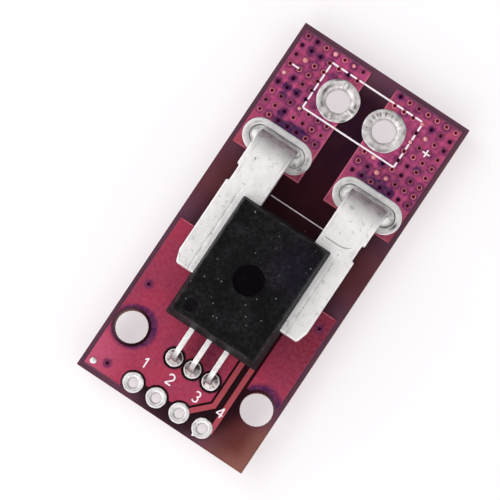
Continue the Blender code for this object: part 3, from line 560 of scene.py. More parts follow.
# Vias of the power grids as (side, column, row): those that solder closed and the deep ones
CLOSED_VIAS = (
    (-1, 3, 0), (-1, 5, 0), (-1, 1, 2), (-1, 0, 4), (-1, 3, 6), (1, 3, 1), (1, 4, 2), (1, 3, 3),
    (1, 1, 6), (1, 2, 7), (1, 3, 7),
)
DEEP_VIAS = (
    (-1, 1, 0), (-1, 1, 1), (-1, 2, 1), (-1, 1, 4), (-1, 0, 5), (-1, 1, 5), (-1, 2, 5), (-1, 2, 7),
    (-1, 2, 8), (-1, 3, 8), (-1, 4, 8), (1, 0, 0), (1, 4, 1), (1, 2, 6), (1, 1, 8), (1, 3, 8),
    (1, 4, 8),
)
# Painted light on the ground's mask, a paler patch of painted reflection and a darker one of
# painted shade, in millimetres: middle, inner and outer radius, share and colour
SIGNAL_TONES = (
    ((-8.9, -17.4), 0.3, 4.4, 0.62, "mask_painted_reflection"),
    ((7.9, -5.0), 1.0, 7.0, 0.6, "mask_painted_shade"),
)
# Middles of the mounting holes and which way the violet halo of each leans, in millimetres
MOUNTING_HOLES = ((-6.81, -13.4), (7.03, -13.4))
# Each halo is thick mask, with painted shade on the side that it leans to
HALO_SHIFTS = ((0.3, 0.2), (0.12, 0.4))
# Dark gap in the mask round the rings: inner and outer radius in millimetres, and share
RING_GAPS = ((SIGNAL_RINGS, 1.03, 1.17, 0.95), (HEADER_RINGS, 1.08, 1.24, 0.8))
# Vias of the ground copper, in millimetres
GROUND_VIAS = ((-7.66, -9.25), (-6.79, -17.43), (7.73, -3.99))
# Columns of a power grid on each side of its middle one, and its rows
HALF_COLUMNS = 3
GRID_ROWS = 12
# Print in millimetres: left, right, high and low line of the outline, ends of the end line,
# and each figure with the middle of its foot
OUTLINE = (-4.95, 5.15, 17.28, 12.28)
END_LINE = ((-2.86, 3.86), (3.0, 3.86))
FIGURES = (
    ("1", -3.86, -15.96), ("2", -1.11, -15.96), ("3", 1.79, -15.96), ("4", 4.42, -15.96),
    ("minus", -7.6, 14.62), ("plus", 6.95, 14.5),
)
# The printed outline breaks off this far beyond a via's hole
INK_TO_VIA = 0.085 * MM
# How far the tin slopes into a signal hole
SIGNAL_WETTING = 0.06 * MM


def solder_mask_on_tracks():
    """The same mask on the narrow tracks, where it runs thin: an orange red."""
    tints = colours()
    material, tree, shader, place = blank_material("solder_mask_on_tracks")
    fine = noise(tree, place, 0.3, 3.0, 0.35, 0.7)
    worn = coat(tree, tints.mask_track, tints.mask_signal, fine, 0.35)
    dress(tree, shader, worn, 0.36, fine, 0.006, MASK_GLOSS)
    return material


def solder_mask_on_copper(power):
    """Photo-imaged epoxy solder mask over copper.

    To the eye: a satin red-violet film, darker where it draws in thick round each via and
    blotched violet where soldering heated it.
    """
    tints = colours()
    name = "solder_mask_on_power_copper" if power else "solder_mask_on_signal_copper"
    material, tree, shader, place = blank_material(name)
    cloud = noise(tree, place, 2.4, 4.0, 0.35, 0.68)
    fine = noise(tree, place, 0.35, 3.0, 0.35, 0.65)
    axes = add(tree, "ShaderNodeSeparateXYZ", {"Vector": place})
    across, along = axes.outputs["X"], axes.outputs["Y"]
    if power:
        base = mask_on_power(tree, place, across, along)
    else:
        base = mask_on_signal(tree, place)
    share = 0.5 if power else 0.3
    patchy = coat(tree, base, tints.mask_halo, cloud, share)
    speckled = coat(tree, patchy, tints.mask_thin, fine, 0.2 if power else 0.14)
    node = "power_copper_plus" if power else "ground_copper"
    thin = edge_line(tree, node, unsigned(tree, across) if power else across, along)
    side_gap = minus(tree, BOARD_HIGH.x, unsigned(tree, across))
    end_gap = minus(tree, BOARD_HIGH.y, unsigned(tree, along))
    # The border in the laminate's tone is a little wider at the board's ends
    end_gap = minus(tree, end_gap, 0.12 * MM)
    from_edge = least(tree, side_gap, end_gap)
    inside = scaled(tree, from_edge, 0.6 * MM, 0.9 * MM, 0.1, 0.6)
    speckled = coat(tree, speckled, tints.mask_thin, thin, inside)
    margin = scaled(tree, from_edge, 0.43 * MM, 0.51 * MM, 0.95, 0.0)
    speckled = mix(tree, margin, speckled, tints.mask_edge)
    rough = between(tree, cloud, 0.3, 0.42)
    dress(tree, shader, speckled, rough, fine, 0.006, MASK_GLOSS)
    return material


def edge_line(tree, node, across, along):
    """1 along the border of a node's box, falling to 0 a tenth of a millimetre inside it."""
    low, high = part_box(node)
    from_sides = least(tree, minus(tree, across, low.x), minus(tree, high.x, across))
    from_ends = least(tree, minus(tree, along, low.y), minus(tree, high.y, along))
    return scaled(tree, least(tree, from_sides, from_ends), 0.08 * MM, 0.17 * MM, 1.0, 0.0)


def mask_on_signal(tree, place):
    """Colour of the mask on the ground copper: crimson, violet round its vias and holes."""
    tints = colours()
    base = tints.mask_signal
    uneven = noise(tree, place, 1.0, 2.0, 0.3, 0.9)
    # Patches of painted reflection and painted shade
    for (x, y), inner, outer, share, tint in SIGNAL_TONES:
        tone = near(tree, place, (x * MM, y * MM, COPPER_TOP), inner, outer)
        base = coat(tree, base, getattr(tints, tint), tone, share)
    # Halos round the mounting holes: thick mask, and painted shade leaning to one side
    for (x, y), (shift_x, shift_y) in zip(MOUNTING_HOLES, HALO_SHIFTS):
        close = near(tree, place, (x * MM, y * MM, COPPER_TOP), 1.75, 2.3)
        base = coat(tree, base, tints.mask_thick_and_shaded, close, 0.7)
        aside = (x * MM + shift_x * MM, y * MM + shift_y * MM, COPPER_TOP)
        wide = near(tree, place, aside, 1.72, 2.35)
        wide = times(tree, wide, plus(tree, uneven, 0.7))
        base = mix(tree, wide, base, tints.mask_thick_and_shaded)
    for nodes, inner, outer, share in RING_GAPS:
        for node in nodes:
            middle = node_middle(node)
            gap = near(tree, place, (middle.x, middle.y, COPPER_TOP), inner, outer)
            base = coat(tree, base, tints.mask_gap, gap, share)
    # Painted shade of the moulding and the leads on the ground copper
    shade_round_leads = near(tree, place, (0.5 * MM, -11.9 * MM, COPPER_TOP), 0.7, 2.8)
    base = coat(tree, base, tints.mask_painted_shade, shade_round_leads, 0.85)
    for x, y in GROUND_VIAS:
        ring = near(tree, place, (x * MM, y * MM, COPPER_TOP), 0.3, 0.62)
        base = coat(tree, base, tints.mask_halo, ring, 0.9)
    return base


def mask_on_power(tree, place, across, along):
    """Colour of the mask on the power copper, with a halo round every via of the grid.

    The distance to the nearest via is that to the nearest crossing of the grid, taken on |x|
    because the two halves mirror each other.
    """
    tints = colours()
    s = sizes()
    middle, first = via_grid_origin()
    side = unsigned(tree, across)
    column = calculate(tree, "DIVIDE", minus(tree, side, middle), s.via_pitch)
    line = calculate(tree, "DIVIDE", minus(tree, first, along), s.via_pitch)
    near_column = calculate(tree, "ROUND", column)
    near_line = calculate(tree, "ROUND", line)
    dx = minus(tree, column, near_column)
    dy = minus(tree, line, near_line)
    gap = calculate(tree, "SQRT", plus(tree, times(tree, dx, dx), times(tree, dy, dy)))
    tight = scaled(tree, gap, 0.34, 0.43, 0.35, 0.0, smooth=True)
    wide = scaled(tree, gap, 0.42, 0.7, 0.75, 0.0, smooth=True)
    halo = plus(tree, tight, wide)
    cell = add(tree, "ShaderNodeCombineXYZ", {
        "X": plus(tree, near_column, calculate(tree, "SIGN", across)),
        "Y": near_line,
        "Z": calculate(tree, "SIGN", across),
    }).outputs["Vector"]
    chance = add(
        tree, "ShaderNodeTexWhiteNoise", {"Vector": cell}, noise_dimensions="3D"
    ).outputs["Value"]
    depth = between(tree, chance, 0.2, 1.3)
    rows_end = scaled(tree, along, 9.3 * MM, 9.7 * MM)
    strength = times(tree, times(tree, halo, depth), rows_end)
    warm = scaled(tree, along, 6.0 * MM, 10.5 * MM, 0.75, 0.0)
    violet = noise(tree, place, 0.9, 2.0, 0.56, 0.66)
    base = mix(tree, warm, tints.mask_power, tints.mask_warm)
    redder = noise(tree, place, 1.9, 2.0, 0.5, 0.7)
    base = coat(tree, base, tints.mask_warm, redder, 0.6)
    base = coat(tree, base, tints.mask_halo, violet, 0.72)
    base = mix(tree, strength, base, tints.mask_halo)
    for x, y in via_spots(DEEP_VIAS):
        deep = near(tree, place, (x, y, COPPER_TOP), 0.28, 0.6)
        base = coat(tree, base, tints.mask_blot, deep, 0.72)
    for x, y, size in BLOTS:
        blot = near(tree, place, (x * MM, y * MM, COPPER_TOP), 0.6 * size, 1.1 * size)
        base = mix(tree, blot, base, tints.mask_blot)
    return base


def solder_mask_on_laminate():
    """The same mask where there is no copper: almost black over the dark middle of the board.

    Towards the edges, and where neither face has copper, light comes through the
    glass-epoxy and turns it brown. The cut edge shows the layers of glass cloth.
    """
    tints = colours()
    material, tree, shader, place = blank_material("solder_mask_on_laminate")
    axes = add(tree, "ShaderNodeSeparateXYZ", {"Vector": place})
    across = unsigned(tree, axes.outputs["X"])
    along = unsigned(tree, axes.outputs["Y"])
    side_gap = minus(tree, BOARD_HIGH.x, across)
    end_gap = minus(tree, BOARD_HIGH.y, along)
    gap = least(tree, side_gap, end_gap)
    rim = scaled(tree, gap, 0.0, 3.3 * MM, 1.0, 0.0, smooth=True)
    upper = scaled(tree, axes.outputs["Y"], 6.0 * MM, 12.0 * MM)
    shade = mix(tree, upper, tints.mask_bare_low, tints.mask_bare)
    shade = mix(tree, rim, shade, tints.mask_edge)
    # The corner beside the header's last ring has no copper on either face
    corner = near(tree, place, (9.2 * MM, -18.2 * MM, LAMINATE_TOP), 1.5, 5.9)
    shade = mix(tree, corner, shade, tints.mask_corner)
    for axis, reach in (("X", BOARD_HIGH.x), ("Y", BOARD_HIGH.y)):
        edge_gap = minus(tree, reach, unsigned(tree, axes.outputs[axis]))
        lit = scaled(tree, edge_gap, 0.0, 1.9 * MM, 0.6, 0.0, smooth=True)
        shade = coat(tree, shade, tints.mask_lit, lit, corner)
    gaps = near(tree, place, (0.4 * MM, -14.2 * MM, LAMINATE_TOP), 4.2, 6.4)
    shade = coat(tree, shade, tints.mask_gap, gaps, 0.85)
    for x, y in ((8.4, 2.0), (-8.4, 2.6)):
        glow = near(tree, place, (x * MM, y * MM, LAMINATE_TOP), 1.0, 4.2)
        shade = coat(tree, shade, tints.mask_corner, glow, 0.5)
    cloud = noise(tree, place, 1.6, 3.0, 0.35, 0.7)
    patches = noise(tree, place, 2.6, 3.0, 0.4, 0.65)
    shade = coat(tree, shade, tints.laminate_dark, patches, 0.2)
    shade = coat(tree, shade, tints.mask_corner, cloud, 0.06)
    dust = spots(tree, place, 1.5, 0.075, 0.4)
    shade = coat(tree, shade, tints.mask_lit, dust, 0.6)
    # Painted shadow: a thin dark line along the board's edge
    ragged = plus(tree, gap, times(tree, cloud, 0.1 * MM))
    edge_shadow = scaled(tree, ragged, 0.06 * MM, 0.2 * MM, 0.2, 0.0)
    shade = mix(tree, edge_shadow, shade, tints.mask_gap)
    cloth = add(
        tree, "ShaderNodeTexWave",
        {"Scale": 1 / (0.36 * MM), "Distortion": 1.5, "Detail": 2.0, "Vector": place},
        bands_direction="Z",
    )
    sides = coat(tree, tints.laminate, tints.mask_corner, cloth.outputs["Fac"], 0.35)
    facing = add(tree, "ShaderNodeNewGeometry")
    upright = add(tree, "ShaderNodeSeparateXYZ", {"Vector": facing.outputs["True Normal"]})
    flat = calculate(tree, "GREATER_THAN", unsigned(tree, upright.outputs["Z"]), 0.5)
    shade = mix(tree, flat, sides, shade)
    rough = between(tree, flat, 0.75, 0.32)
    fine = noise(tree, place, 0.45, 3.0)
    dress(tree, shader, shade, rough, fine, 0.006, {"IOR": 1.52, "Specular IOR Level": 0.16})
    return material


def matte_tin():
    """Electroplated matte tin on copper: pale, soft grey-white with a fine grain and rub marks."""
    tints = colours()
    material, tree, shader, place = blank_material("matte_tin_plate")
    grain = noise(tree, place, 0.14, 4.0, 0.3, 0.75)
    cloud = noise(tree, place, 1.3, 4.0, 0.45, 0.75)
    specks = noise(tree, place, 0.5, 6.0, 0.6, 0.75)
    drawn = add(tree, "ShaderNodeMapping", {"Scale": (1.0, 0.12, 1.0), "Vector": place})
    scratches = noise(tree, drawn.outputs["Vector"], 0.12, 3.0, 0.62, 0.74)
    dirt_and_shade = coat(tree, tints.tin, tints.solder_dark, cloud, 0.1)
    dirt_and_shade = coat(tree, dirt_and_shade, tints.solder_dark, specks, 0.34)
    dirt_and_shade = coat(tree, dirt_and_shade, tints.solder_dark, scratches, 0.14)
    pits = spots(tree, place, 0.42, 0.09, 0.5)
    dirt_and_shade = coat(tree, dirt_and_shade, tints.solder_dark, pits, 0.3)
    axes = add(tree, "ShaderNodeSeparateXYZ", {"Vector": place})
    x, y = axes.outputs["X"], axes.outputs["Y"]
    # A bowed line that a tool left across the right wing, and two ticks on the left one
    bow = calculate(tree, "DIVIDE", minus(tree, x, 4.4 * MM), 1.5 * MM)
    bow = times(tree, calculate(tree, "POWER", unsigned(tree, bow), 4.0), 0.24 * MM)
    off = unsigned(tree, minus(tree, minus(tree, y, 3.17 * MM), bow))
    line = scaled(tree, off, 0.025 * MM, 0.075 * MM, 0.62, 0.0)
    within = near(tree, place, (4.85 * MM, 3.2 * MM, 5.8 * MM), 1.1, 1.5)
    dirt_and_shade = coat(tree, dirt_and_shade, tints.solder_dark, line, within)
    for at in ((-5.78, 5.66, 5.78), (-5.7, 5.55, 5.78)):
        tick = near(tree, place, tuple(v * MM for v in at), 0.03, 0.11)
        dirt_and_shade = coat(tree, dirt_and_shade, tints.solder_dark, tick, 0.6)
    # The crease label carries tool marks, and painted shade on the bends
    crease = painted(tree, "crease")
    dirt_and_shade = coat(tree, dirt_and_shade, tints.solder_dark, crease, 0.7)
    rough = between(tree, grain, 0.6, 0.75)
    dress(tree, shader, dirt_and_shade, rough, grain, 0.006, {"Metallic": 1.0})
    return material


def levelled_tin():
    """Solder levelled with hot air on the rings: pale and satin, with painted shade in the creases.
    """
    return solder_finish("hot_air_levelled_tin", "solder", 0.56, 0.7, 0.16, 0.006)


def terminal_tin():
    """The same on the terminals, a little tarnished, with grey drainage streaks."""
    return solder_finish("drained_terminal_tin", "solder_old", 0.56, 0.7, 0.4, 0.008)


def bright_solder():
    """Hand-soldered tin-lead: bright, so that slopes mirror the light and flats the dark above."""
    return solder_finish("bright_hand_solder", "solder_hand", 0.32, 0.48, 0.35, 0.012)


def solder_finish(name, tint, smooth, rough_end, stain, depth_mm):
    """Solder of a colour, a roughness range, a share of stains and a surface relief."""
    tints = colours()
    material, tree, shader, place = blank_material(name)
    cloud = noise(tree, place, 0.55, 3.0, 0.35, 0.7)
    fine = noise(tree, place, 0.12, 3.0, 0.3, 0.7)
    # The crease label: stains, and painted shade and reflection in creases, contours and feet
    crease = painted(tree, "crease")
    dull = times(tree, calculate(tree, "POWER", crease, 1.4), 0.9)
    pits = spots(tree, place, 0.5, 0.1, 0.3)
    clean = getattr(tints, tint)
    grey = coat(tree, clean, tints.solder_dark, cloud, stain)
    grey = coat(tree, grey, tints.solder_dark, pits, 0.5)
    shade = mix(tree, dull, grey, tints.flux)
    rough = between(tree, fine, smooth, rough_end)
    dress(tree, shader, shade, rough, cloud, depth_mm, {"Metallic": 1.0})
    return material


def black_epoxy():
    """Transfer-moulded epoxy: black, matt from the spark-eroded tool, with pale filler specks."""
    tints = colours()
    material, tree, shader, place = blank_material("moulded_black_epoxy")
    grain = noise(tree, place, 0.10, 4.0, 0.3, 0.7)
    cloud = noise(tree, place, 2.2, 4.0, 0.4, 0.8)
    bloom = near(tree, place, (3.3 * MM, -1.0 * MM, 7.3 * MM), 0.1, 3.8)
    dust = noise(tree, place, 0.34, 5.0, 0.42, 0.72)
    specks = spots(tree, place, 0.5, 0.085, 0.5)
    polish = painted(tree, "polish")
    # The recess is more polished than the dimple
    middle = near(tree, place, (0.09 * MM, -4.1 * MM, 7.1 * MM), 1.7, 1.8)
    middle = between(tree, middle, 0.55, 0.92)
    polish = times(tree, polish, middle)
    rub = painted(tree, "rub")
    bloom = times(tree, bloom, plus(tree, cloud, 0.45))
    shade = mix(tree, bloom, tints.moulding, tints.moulding_bloom)
    dust = times(tree, dust, plus(tree, cloud, 0.4))
    shade = coat(tree, shade, tints.moulding_dust, cloud, 0.1)
    shade = coat(tree, shade, tints.moulding_dust, dust, 0.34)
    shade = coat(tree, shade, tints.solder_old, specks, 0.25)
    # Lighter on the rounded edges and walls: worn to the filler, and a painted highlight
    shade = coat(tree, shade, tints.moulding_dust, rub, 0.6)
    shade = coat(tree, shade, (0.0014, 0.0003, 0.0024, 1.0), polish, 0.95)
    sheen = between(tree, polish, 0.08, 0.035)
    rough = times(tree, between(tree, grain, 0.45, 0.6), between(tree, polish, 1.0, 0.3))
    dress(tree, shader, shade, rough, grain, 0.02, {"IOR": 1.5, "Specular IOR Level": sheen})
    return material


def via_plating():
    """Plated copper rim of a via, seen through thin mask: bronze, some rims tinned bright."""
    tints = colours()
    material, tree, shader, place = blank_material("plated_via_rim")
    tone = painted(tree, "tone")
    crease = painted(tree, "crease")
    metal = mix(tree, tone, tints.mask_halo, tints.via_metal)
    mouth = mix(tree, tone, tints.via_deep, tints.via_mouth)
    shade = mix(tree, crease, metal, mouth)
    fine = noise(tree, place, 0.08, 2.0)
    rough = between(tree, fine, 0.3, 0.5)
    dress(tree, shader, shade, rough, fine, 0.01, {"Metallic": 0.4, "Specular IOR Level": 0.1})
    return material


def masked_plug():
    """Solder that closed a via under the mask: pink where the mask is thin, duller where not."""
    tints = colours()
    material, tree, shader, place = blank_material("masked_via_solder")
    dull = noise(tree, place, 1.7, 2.0, 0.4, 0.6)
    fine = noise(tree, place, 0.16, 3.0, 0.35, 0.65)
    shade = coat(tree, tints.via_plug, tints.via_metal, dull, 0.8)
    shade = coat(tree, shade, tints.mask_thin, fine, 0.55)
    dress(tree, shader, shade, between(tree, fine, 0.25, 0.45), fine, 0.01, {"Metallic": 0.25})
    return material


def printed_ink():
    """Screen-printed epoxy ink: flat white, a little thin and ragged."""
    tints = colours()
    material, tree, shader, place = blank_material("printed_white_ink")
    thin = noise(tree, place, 0.18, 2.0, 0.55, 0.8)
    shade = coat(tree, tints.ink, tints.mask_edge, thin, 0.25)
    dress(tree, shader, shade, 0.6, thin, 0.006)
    return material


def soft_iron():
    """Stamped soft-magnetic strip: dull grey with faint rolling lines."""
    tints = colours()
    material, tree, shader, place = blank_material("stamped_soft_iron")
    stretched = add(tree, "ShaderNodeMapping", {"Scale": (1.0, 0.08, 1.0), "Vector": place})
    lines = noise(tree, stretched.outputs["Vector"], 0.06, 3.0, 0.3, 0.7)
    shade = coat(tree, tints.iron, tints.moulding_dust, lines, 0.3)
    dress(tree, shader, shade, 0.45, lines, 0.01, {"Metallic": 1.0})
    return material


def die_silicon():
    """Sawn silicon die on its paddle: dark blue-grey with a fine saw grain."""
    tints = colours()
    material, tree, shader, place = blank_material("sawn_silicon_die")
    grain = noise(tree, place, 0.08, 3.0, 0.3, 0.7)
    shade = coat(tree, tints.silicon, tints.iron, grain, 0.3)
    dress(tree, shader, shade, 0.3, grain, 0.005, {"Metallic": 0.3})
    return material


def shared(maker):
    """The material that a maker gives, made once."""
    key = "made_by_" + maker.__name__
    for material in bpy.data.materials:
        if material.get(key):
            return material
    material = maker()
    material[key] = True
    return material


def repaint(node, material):
    """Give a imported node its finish."""
    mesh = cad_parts[node].data
    mesh.materials.clear()
    mesh.materials.append(material)


# Shapes


def node_middle(node):
    """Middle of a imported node's box."""
    low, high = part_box(node)
    return (low + high) / 2


def bell(distance, width):
    """Bell curve: 1 at no distance, about a third at the width."""
    return np.exp(-(distance / width) ** 2)


def arch(start, end, count):
    """Heights along a half wave, from one share of it to another."""
    return np.sin(np.linspace(start, end, count) * math.pi)


def turns_from(turn, at):
    """How far each station of a ring lies from a place on it, in turns from -0.5 to 0.5."""
    return (turn - at + 0.5) % 1.0 - 0.5


# Rows of a plated ring's profile, counted from the foot of its outer side
FOOT_ROWS = slice(0, 2)
RIM_ROWS = slice(0, 4)
CROWN_ROWS = slice(3, 14)
NUB_ROWS = slice(6, 18)
BARE_NUB_ROWS = slice(6, 21)
BESIDE_NUB_ROWS = slice(7, 17)
SLOPE_ROWS = slice(14, 21)
UPPER_SLOPE_ROWS = slice(14, 18)
OPEN_SLOPE_ROWS = slice(14, 20)
DEEP_SLOPE_ROWS = slice(16, 21)

# Stains of the tin: direction and half width in degrees, first and last profile row, number of
# waves, fewest waves in a turn, share that the stain covers, strength.
TERMINAL_STAINS = {
    "minus": (
        (183.0, 75.0, 9, 16, 10, 2, 0.75, 1.0), (10.0, 60.0, 6, 14, 12, 4, 0.35, 0.9),
        (250.0, 60.0, 4, 9, 9, 3, 0.3, 0.9), (0.0, 900.0, 2, 7, 12, 2, 0.1, 0.9),
    ),
    "plus": (
        (124.0, 75.0, 7, 17, 26, 11, 0.45, 1.05), (-20.0, 60.0, 2, 10, 8, 2, 0.5, 1.1),
        (250.0, 60.0, 4, 12, 8, 2, 0.3, 1.0), (0.0, 900.0, 2, 8, 14, 2, 0.1, 0.8),
    ),
}
HEADER_STAINS = (
    (0.0, 900.0, 2, 5, 9, 2, 0.15, 0.8), (80.0, 45.0, 2, 8, 9, 2, 0.3, 0.9),
    (190.0, 60.0, 13, 17, 8, 2, 0.35, 0.5),
)
SLOT_STAINS = (
    (-40.0, 45.0, 2, 8, 10, 3, 0.4, 1.0), (-5.0, 50.0, 7, 14, 14, 5, 0.4, 1.0),
    (150.0, 60.0, 8, 13, 10, 2, 0.15, 0.6),
)


def plated_ring(
    node, bore, plating, wetting, half_straight=0.0, spike=None, nubs=(), groove_share=0.5,
    contour=0.0, bore_shade=1.0, stains=(),
):
    """Levelled tin ring: a crowned pad on each face and a barrel through the board.

    The profile is a closed loop of (reach, z): up the pad's outer side, a crown whose height
    is a sine across the pad, a slope of a quarter ellipse into the bore, down the bore and
    the same on the underside. A random wave along the ring lifts and widens the tin. A spike
    is a bulge of the outline, as its place, reach and width, and nubs are the places of
    drops on the crown, all in turns but the reach. Each of the stains darkens some rows of
    the profile within an angle about one direction.
    """
    s = sizes()
    steps = bpy.context.scene.sensor_stage.arc_steps
    low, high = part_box(node)
    pad = (high.y - low.y) / 2
    middle = (low + high) / 2
    centres, outward, turn = oblong(half_straight, steps, 24 if half_straight else 0)
    across = np.linspace(0.0, 1.0, 13)[1:-1]
    groove = bell(across - 0.62, 0.14)
    crown_reach = pad - across * (pad - bore - wetting)
    crown = s.tin_crown * (np.sin(across * math.pi) ** 0.6 - groove_share * groove)
    slope = np.linspace(0.0, math.pi / 2, 7)
    slope_reach = bore + wetting * (1 - np.sin(slope))
    slope_drop = -wetting * 1.3 * (1 - np.cos(slope))
    top = PAD_TOP - 0.01 * MM
    upper = np.concatenate([
        [[pad, COPPER_TOP - 0.02 * MM], [pad, top - 0.02 * MM], [pad - 0.03 * MM, top]],
        np.stack([crown_reach, top + crown], axis=-1),
        np.stack([slope_reach, top + slope_drop], axis=-1),
    ])
    mirror = PAD_TOP + PAD_BOTTOM
    lower = upper[::-1].copy()
    lower[:, 1] = mirror - lower[:, 1]
    barrel = bore + plating
    inner = [[barrel, mirror - COPPER_TOP + 0.02 * MM], [barrel, COPPER_TOP - 0.02 * MM]]
    loop = np.concatenate([upper, lower, inner])
    profile = np.repeat(loop[:, None, :], len(turn), axis=1)
    seed = sum(map(ord, node))
    lift = np.zeros(len(loop))
    lift[CROWN_ROWS] = np.sin(across * math.pi)
    lift[UPPER_SLOPE_ROWS] = 0.6
    profile[:, :, 1] += lift[:, None] * ripple(turn, seed, 11, 2)[None] * 0.016 * MM
    nub_gaps = [turns_from(turn, at) for at in nubs]
    nub = sum((bell(gap, 0.011) for gap in nub_gaps), np.zeros(len(turn)))
    profile[NUB_ROWS, :, 1] += 0.15 * MM * arch(0.15, 0.9, 12)[:, None] * nub[None]
    profile[RIM_ROWS, :, 0] += 0.018 * MM * ripple(turn, seed + 21, 8, 2)[None]
    uneven = 0.5 + 0.5 * ripple(turn, seed + 5, 7, 2)
    profile[OPEN_SLOPE_ROWS, :, 0] -= uneven[None] * wetting * 0.18
    if spike:
        at, reach, width = spike
        bulge = reach * bell(turns_from(turn, at), width)
        grow = np.array([1.0, 1.0, 1.0, 0.6, 0.3])
        profile[:len(grow), :, 0] += grow[:, None] * bulge[None]
    # Painted shade in the crown's groove and down the slope into the bore, over drained streaks
    crease = np.zeros(profile.shape[:2])
    cloudy = 0.5 + 0.5 * ripple(turn, seed + 9, 6, 1)
    streaks = np.clip(0.35 + 0.9 * ripple(turn, seed + 13, 26, 8), 0.0, 1.0)
    crease[CROWN_ROWS] = groove_share * groove[:, None] * (0.2 + 1.1 * cloudy)[None]
    crease[SLOPE_ROWS] = arch(0.1, 1.0, 7)[:, None] * (streaks * (0.25 + 0.75 * cloudy))[None]
    # Painted reflection: a dark line where the tin turns down into the slot
    if contour:
        line = np.clip(0.85 + 0.35 * ripple(turn, seed + 17, 7, 1), 0.4, 1.0)
        crease[DEEP_SLOPE_ROWS] = contour * line[None]
    crease[SLOPE_ROWS] *= bore_shade
    facing = np.degrees(np.arctan2(outward[:, 1], outward[:, 0]))
    for middle_angle, half_angle, first, last, waves, lowest, cover, strength in stains:
        spread = bell((facing - middle_angle + 180.0) % 360.0 - 180.0, half_angle)
        wavy = ripple(turn, seed + first + lowest, waves, lowest)
        texture = np.clip(cover + 0.5 * wavy / wavy.std(), 0.0, 1.0)
        patch = strength * arch(0.15, 0.85, last - first)[:, None] * (spread * texture)[None]
        crease[first:last] = np.maximum(crease[first:last], patch)
    # Painted shade at the pad's foot
    crease[FOOT_ROWS] = 0.7
    crease[BARE_NUB_ROWS] *= (1 - np.clip(nub, 0, 1))[None]
    # Painted shade beside each drop
    beside = sum((bell(np.abs(gap) - 0.02, 0.006) for gap in nub_gaps), np.zeros(len(turn)))
    crease[BESIDE_NUB_ROWS] = np.maximum(crease[BESIDE_NUB_ROWS], 0.75 * beside[None])
    points = carry(profile, centres, outward, middle)
    return surface(node, points, along=True, attributes={"crease": np.clip(crease, 0, 1)})


def rounded_section(half_thickness, corner, side_samples, corner_samples=4):
    """Section of a strip: share across its width, corner shift across and shift along its normal.

    It runs counter-clockwise when the width points right and the normal points up.
    """
    quarter = np.linspace(0.0, math.pi / 2, corner_samples + 1)
    share = []
    shift = []
    lift = []
    top = np.linspace(1.0, 0.0, side_samples + 2)[1:-1]
    for k, (at_share, start) in enumerate(((1.0, 0.0), (0.0, 1.0), (0.0, 2.0), (1.0, 3.0))):
        angle = quarter + start * math.pi / 2
        sign = 1.0 if k in (0, 1) else -1.0
        share.append(np.full_like(angle, at_share))
        shift.append(np.cos(angle) * corner)
        lift.append(sign * (half_thickness - corner) + np.sin(angle) * corner)
        if k == 0:
            share.append(top)
            shift.append(np.zeros_like(top))
            lift.append(np.full_like(top, half_thickness))
        if k == 2:
            share.append(top[::-1])
            shift.append(np.zeros_like(top))
            lift.append(np.full_like(top, -half_thickness))
    return np.concatenate(share), np.concatenate(shift), np.concatenate(lift)


def fold_path(start_y, flat_stations, drop_y, level, tip, reach, bend_steps=28, fall_steps=10):
    """Middle line of a strip that runs level, turns down through a quarter circle and falls.

    Gives (y, z) and the outward normal, one row a station.
    """
    sense = math.copysign(1.0, drop_y - start_y)
    turn = np.linspace(0.0, math.pi / 2, bend_steps + 1)
    bend = np.stack([
        drop_y - sense * reach + sense * reach * np.sin(turn), level - reach + reach * np.cos(turn)
    ], axis=-1)
    bend_normal = np.stack([sense * np.sin(turn), np.cos(turn)], axis=-1)
    flat = np.stack([flat_stations, np.full_like(flat_stations, level)], axis=-1)
    flat_normal = np.tile([0.0, 1.0], (len(flat), 1))
    fall_z = np.linspace(level - reach, tip, fall_steps + 1)[1:]
    fall = np.stack([np.full_like(fall_z, drop_y), fall_z], axis=-1)
    fall_normal = np.tile([sense, 0.0], (len(fall), 1))
    line = np.concatenate([flat, bend, fall])
    normal = np.concatenate([flat_normal, bend_normal, fall_normal])
    return line, normal


def strip_surface(name, line, normal, x_low, x_high, section, corner, relief_field, crease):
    """Strip of a section carried along a folded line between two edges that may vary.

    A point is at x = edge blend + corner shift, and at line + normal * shift along the normal.
    The stations at both ends shrink by a quarter circle, which rounds the ends.
    """
    share, shift, lift = section
    left = np.array([1.0, 0.85, 0.5, 0.0])
    ahead = (line[1] - line[0]) / np.linalg.norm(line[1] - line[0])
    behind = (line[-1] - line[-2]) / np.linalg.norm(line[-1] - line[-2])
    first = line[0] + ahead * (corner * (1 - left))[:, None]
    last = line[-1] - behind * (corner * (1 - left[::-1]))[:, None]
    from_ends = np.minimum(
        np.linalg.norm(line - line[0], axis=1), np.linalg.norm(line - line[-1], axis=1)
    )
    keep = np.flatnonzero(from_ends > corner * 1.2)
    order = np.concatenate([np.zeros(4, int), keep, np.full(4, len(line) - 1)])
    lines = np.concatenate([first, line[keep], last])
    normals = normal[order]
    low = x_low[order][:, None]
    high = x_high[order][:, None]
    shrink = np.zeros((len(lines), 1))
    shrink[:4, 0] = corner * (1 - np.sqrt(1 - left ** 2))
    shrink[-4:] = shrink[3::-1]
    x = (low + corner) * (1 - share) + (high - corner) * share + shift
    centre = (low + high) / 2
    x = centre + (x - centre) * (1 - shrink * 2 / (high - low))
    off = lift * (1 - shrink / np.abs(lift).max())
    off = off + relief_field(x, lines[:, :1] + 0 * x, lift + 0 * x)
    y = lines[:, :1] + normals[:, :1] * off
    z = lines[:, 1:] + normals[:, 1:] * off
    points = np.stack([x, y, z], axis=-1)
    return surface(name, points, attributes={"crease": crease(x, y, z)})


def run_of(low, high, spacing):
    """Evenly spaced stations from low to high."""
    return np.linspace(low, high, max(2, int(round(abs(high - low) / spacing)) + 1))


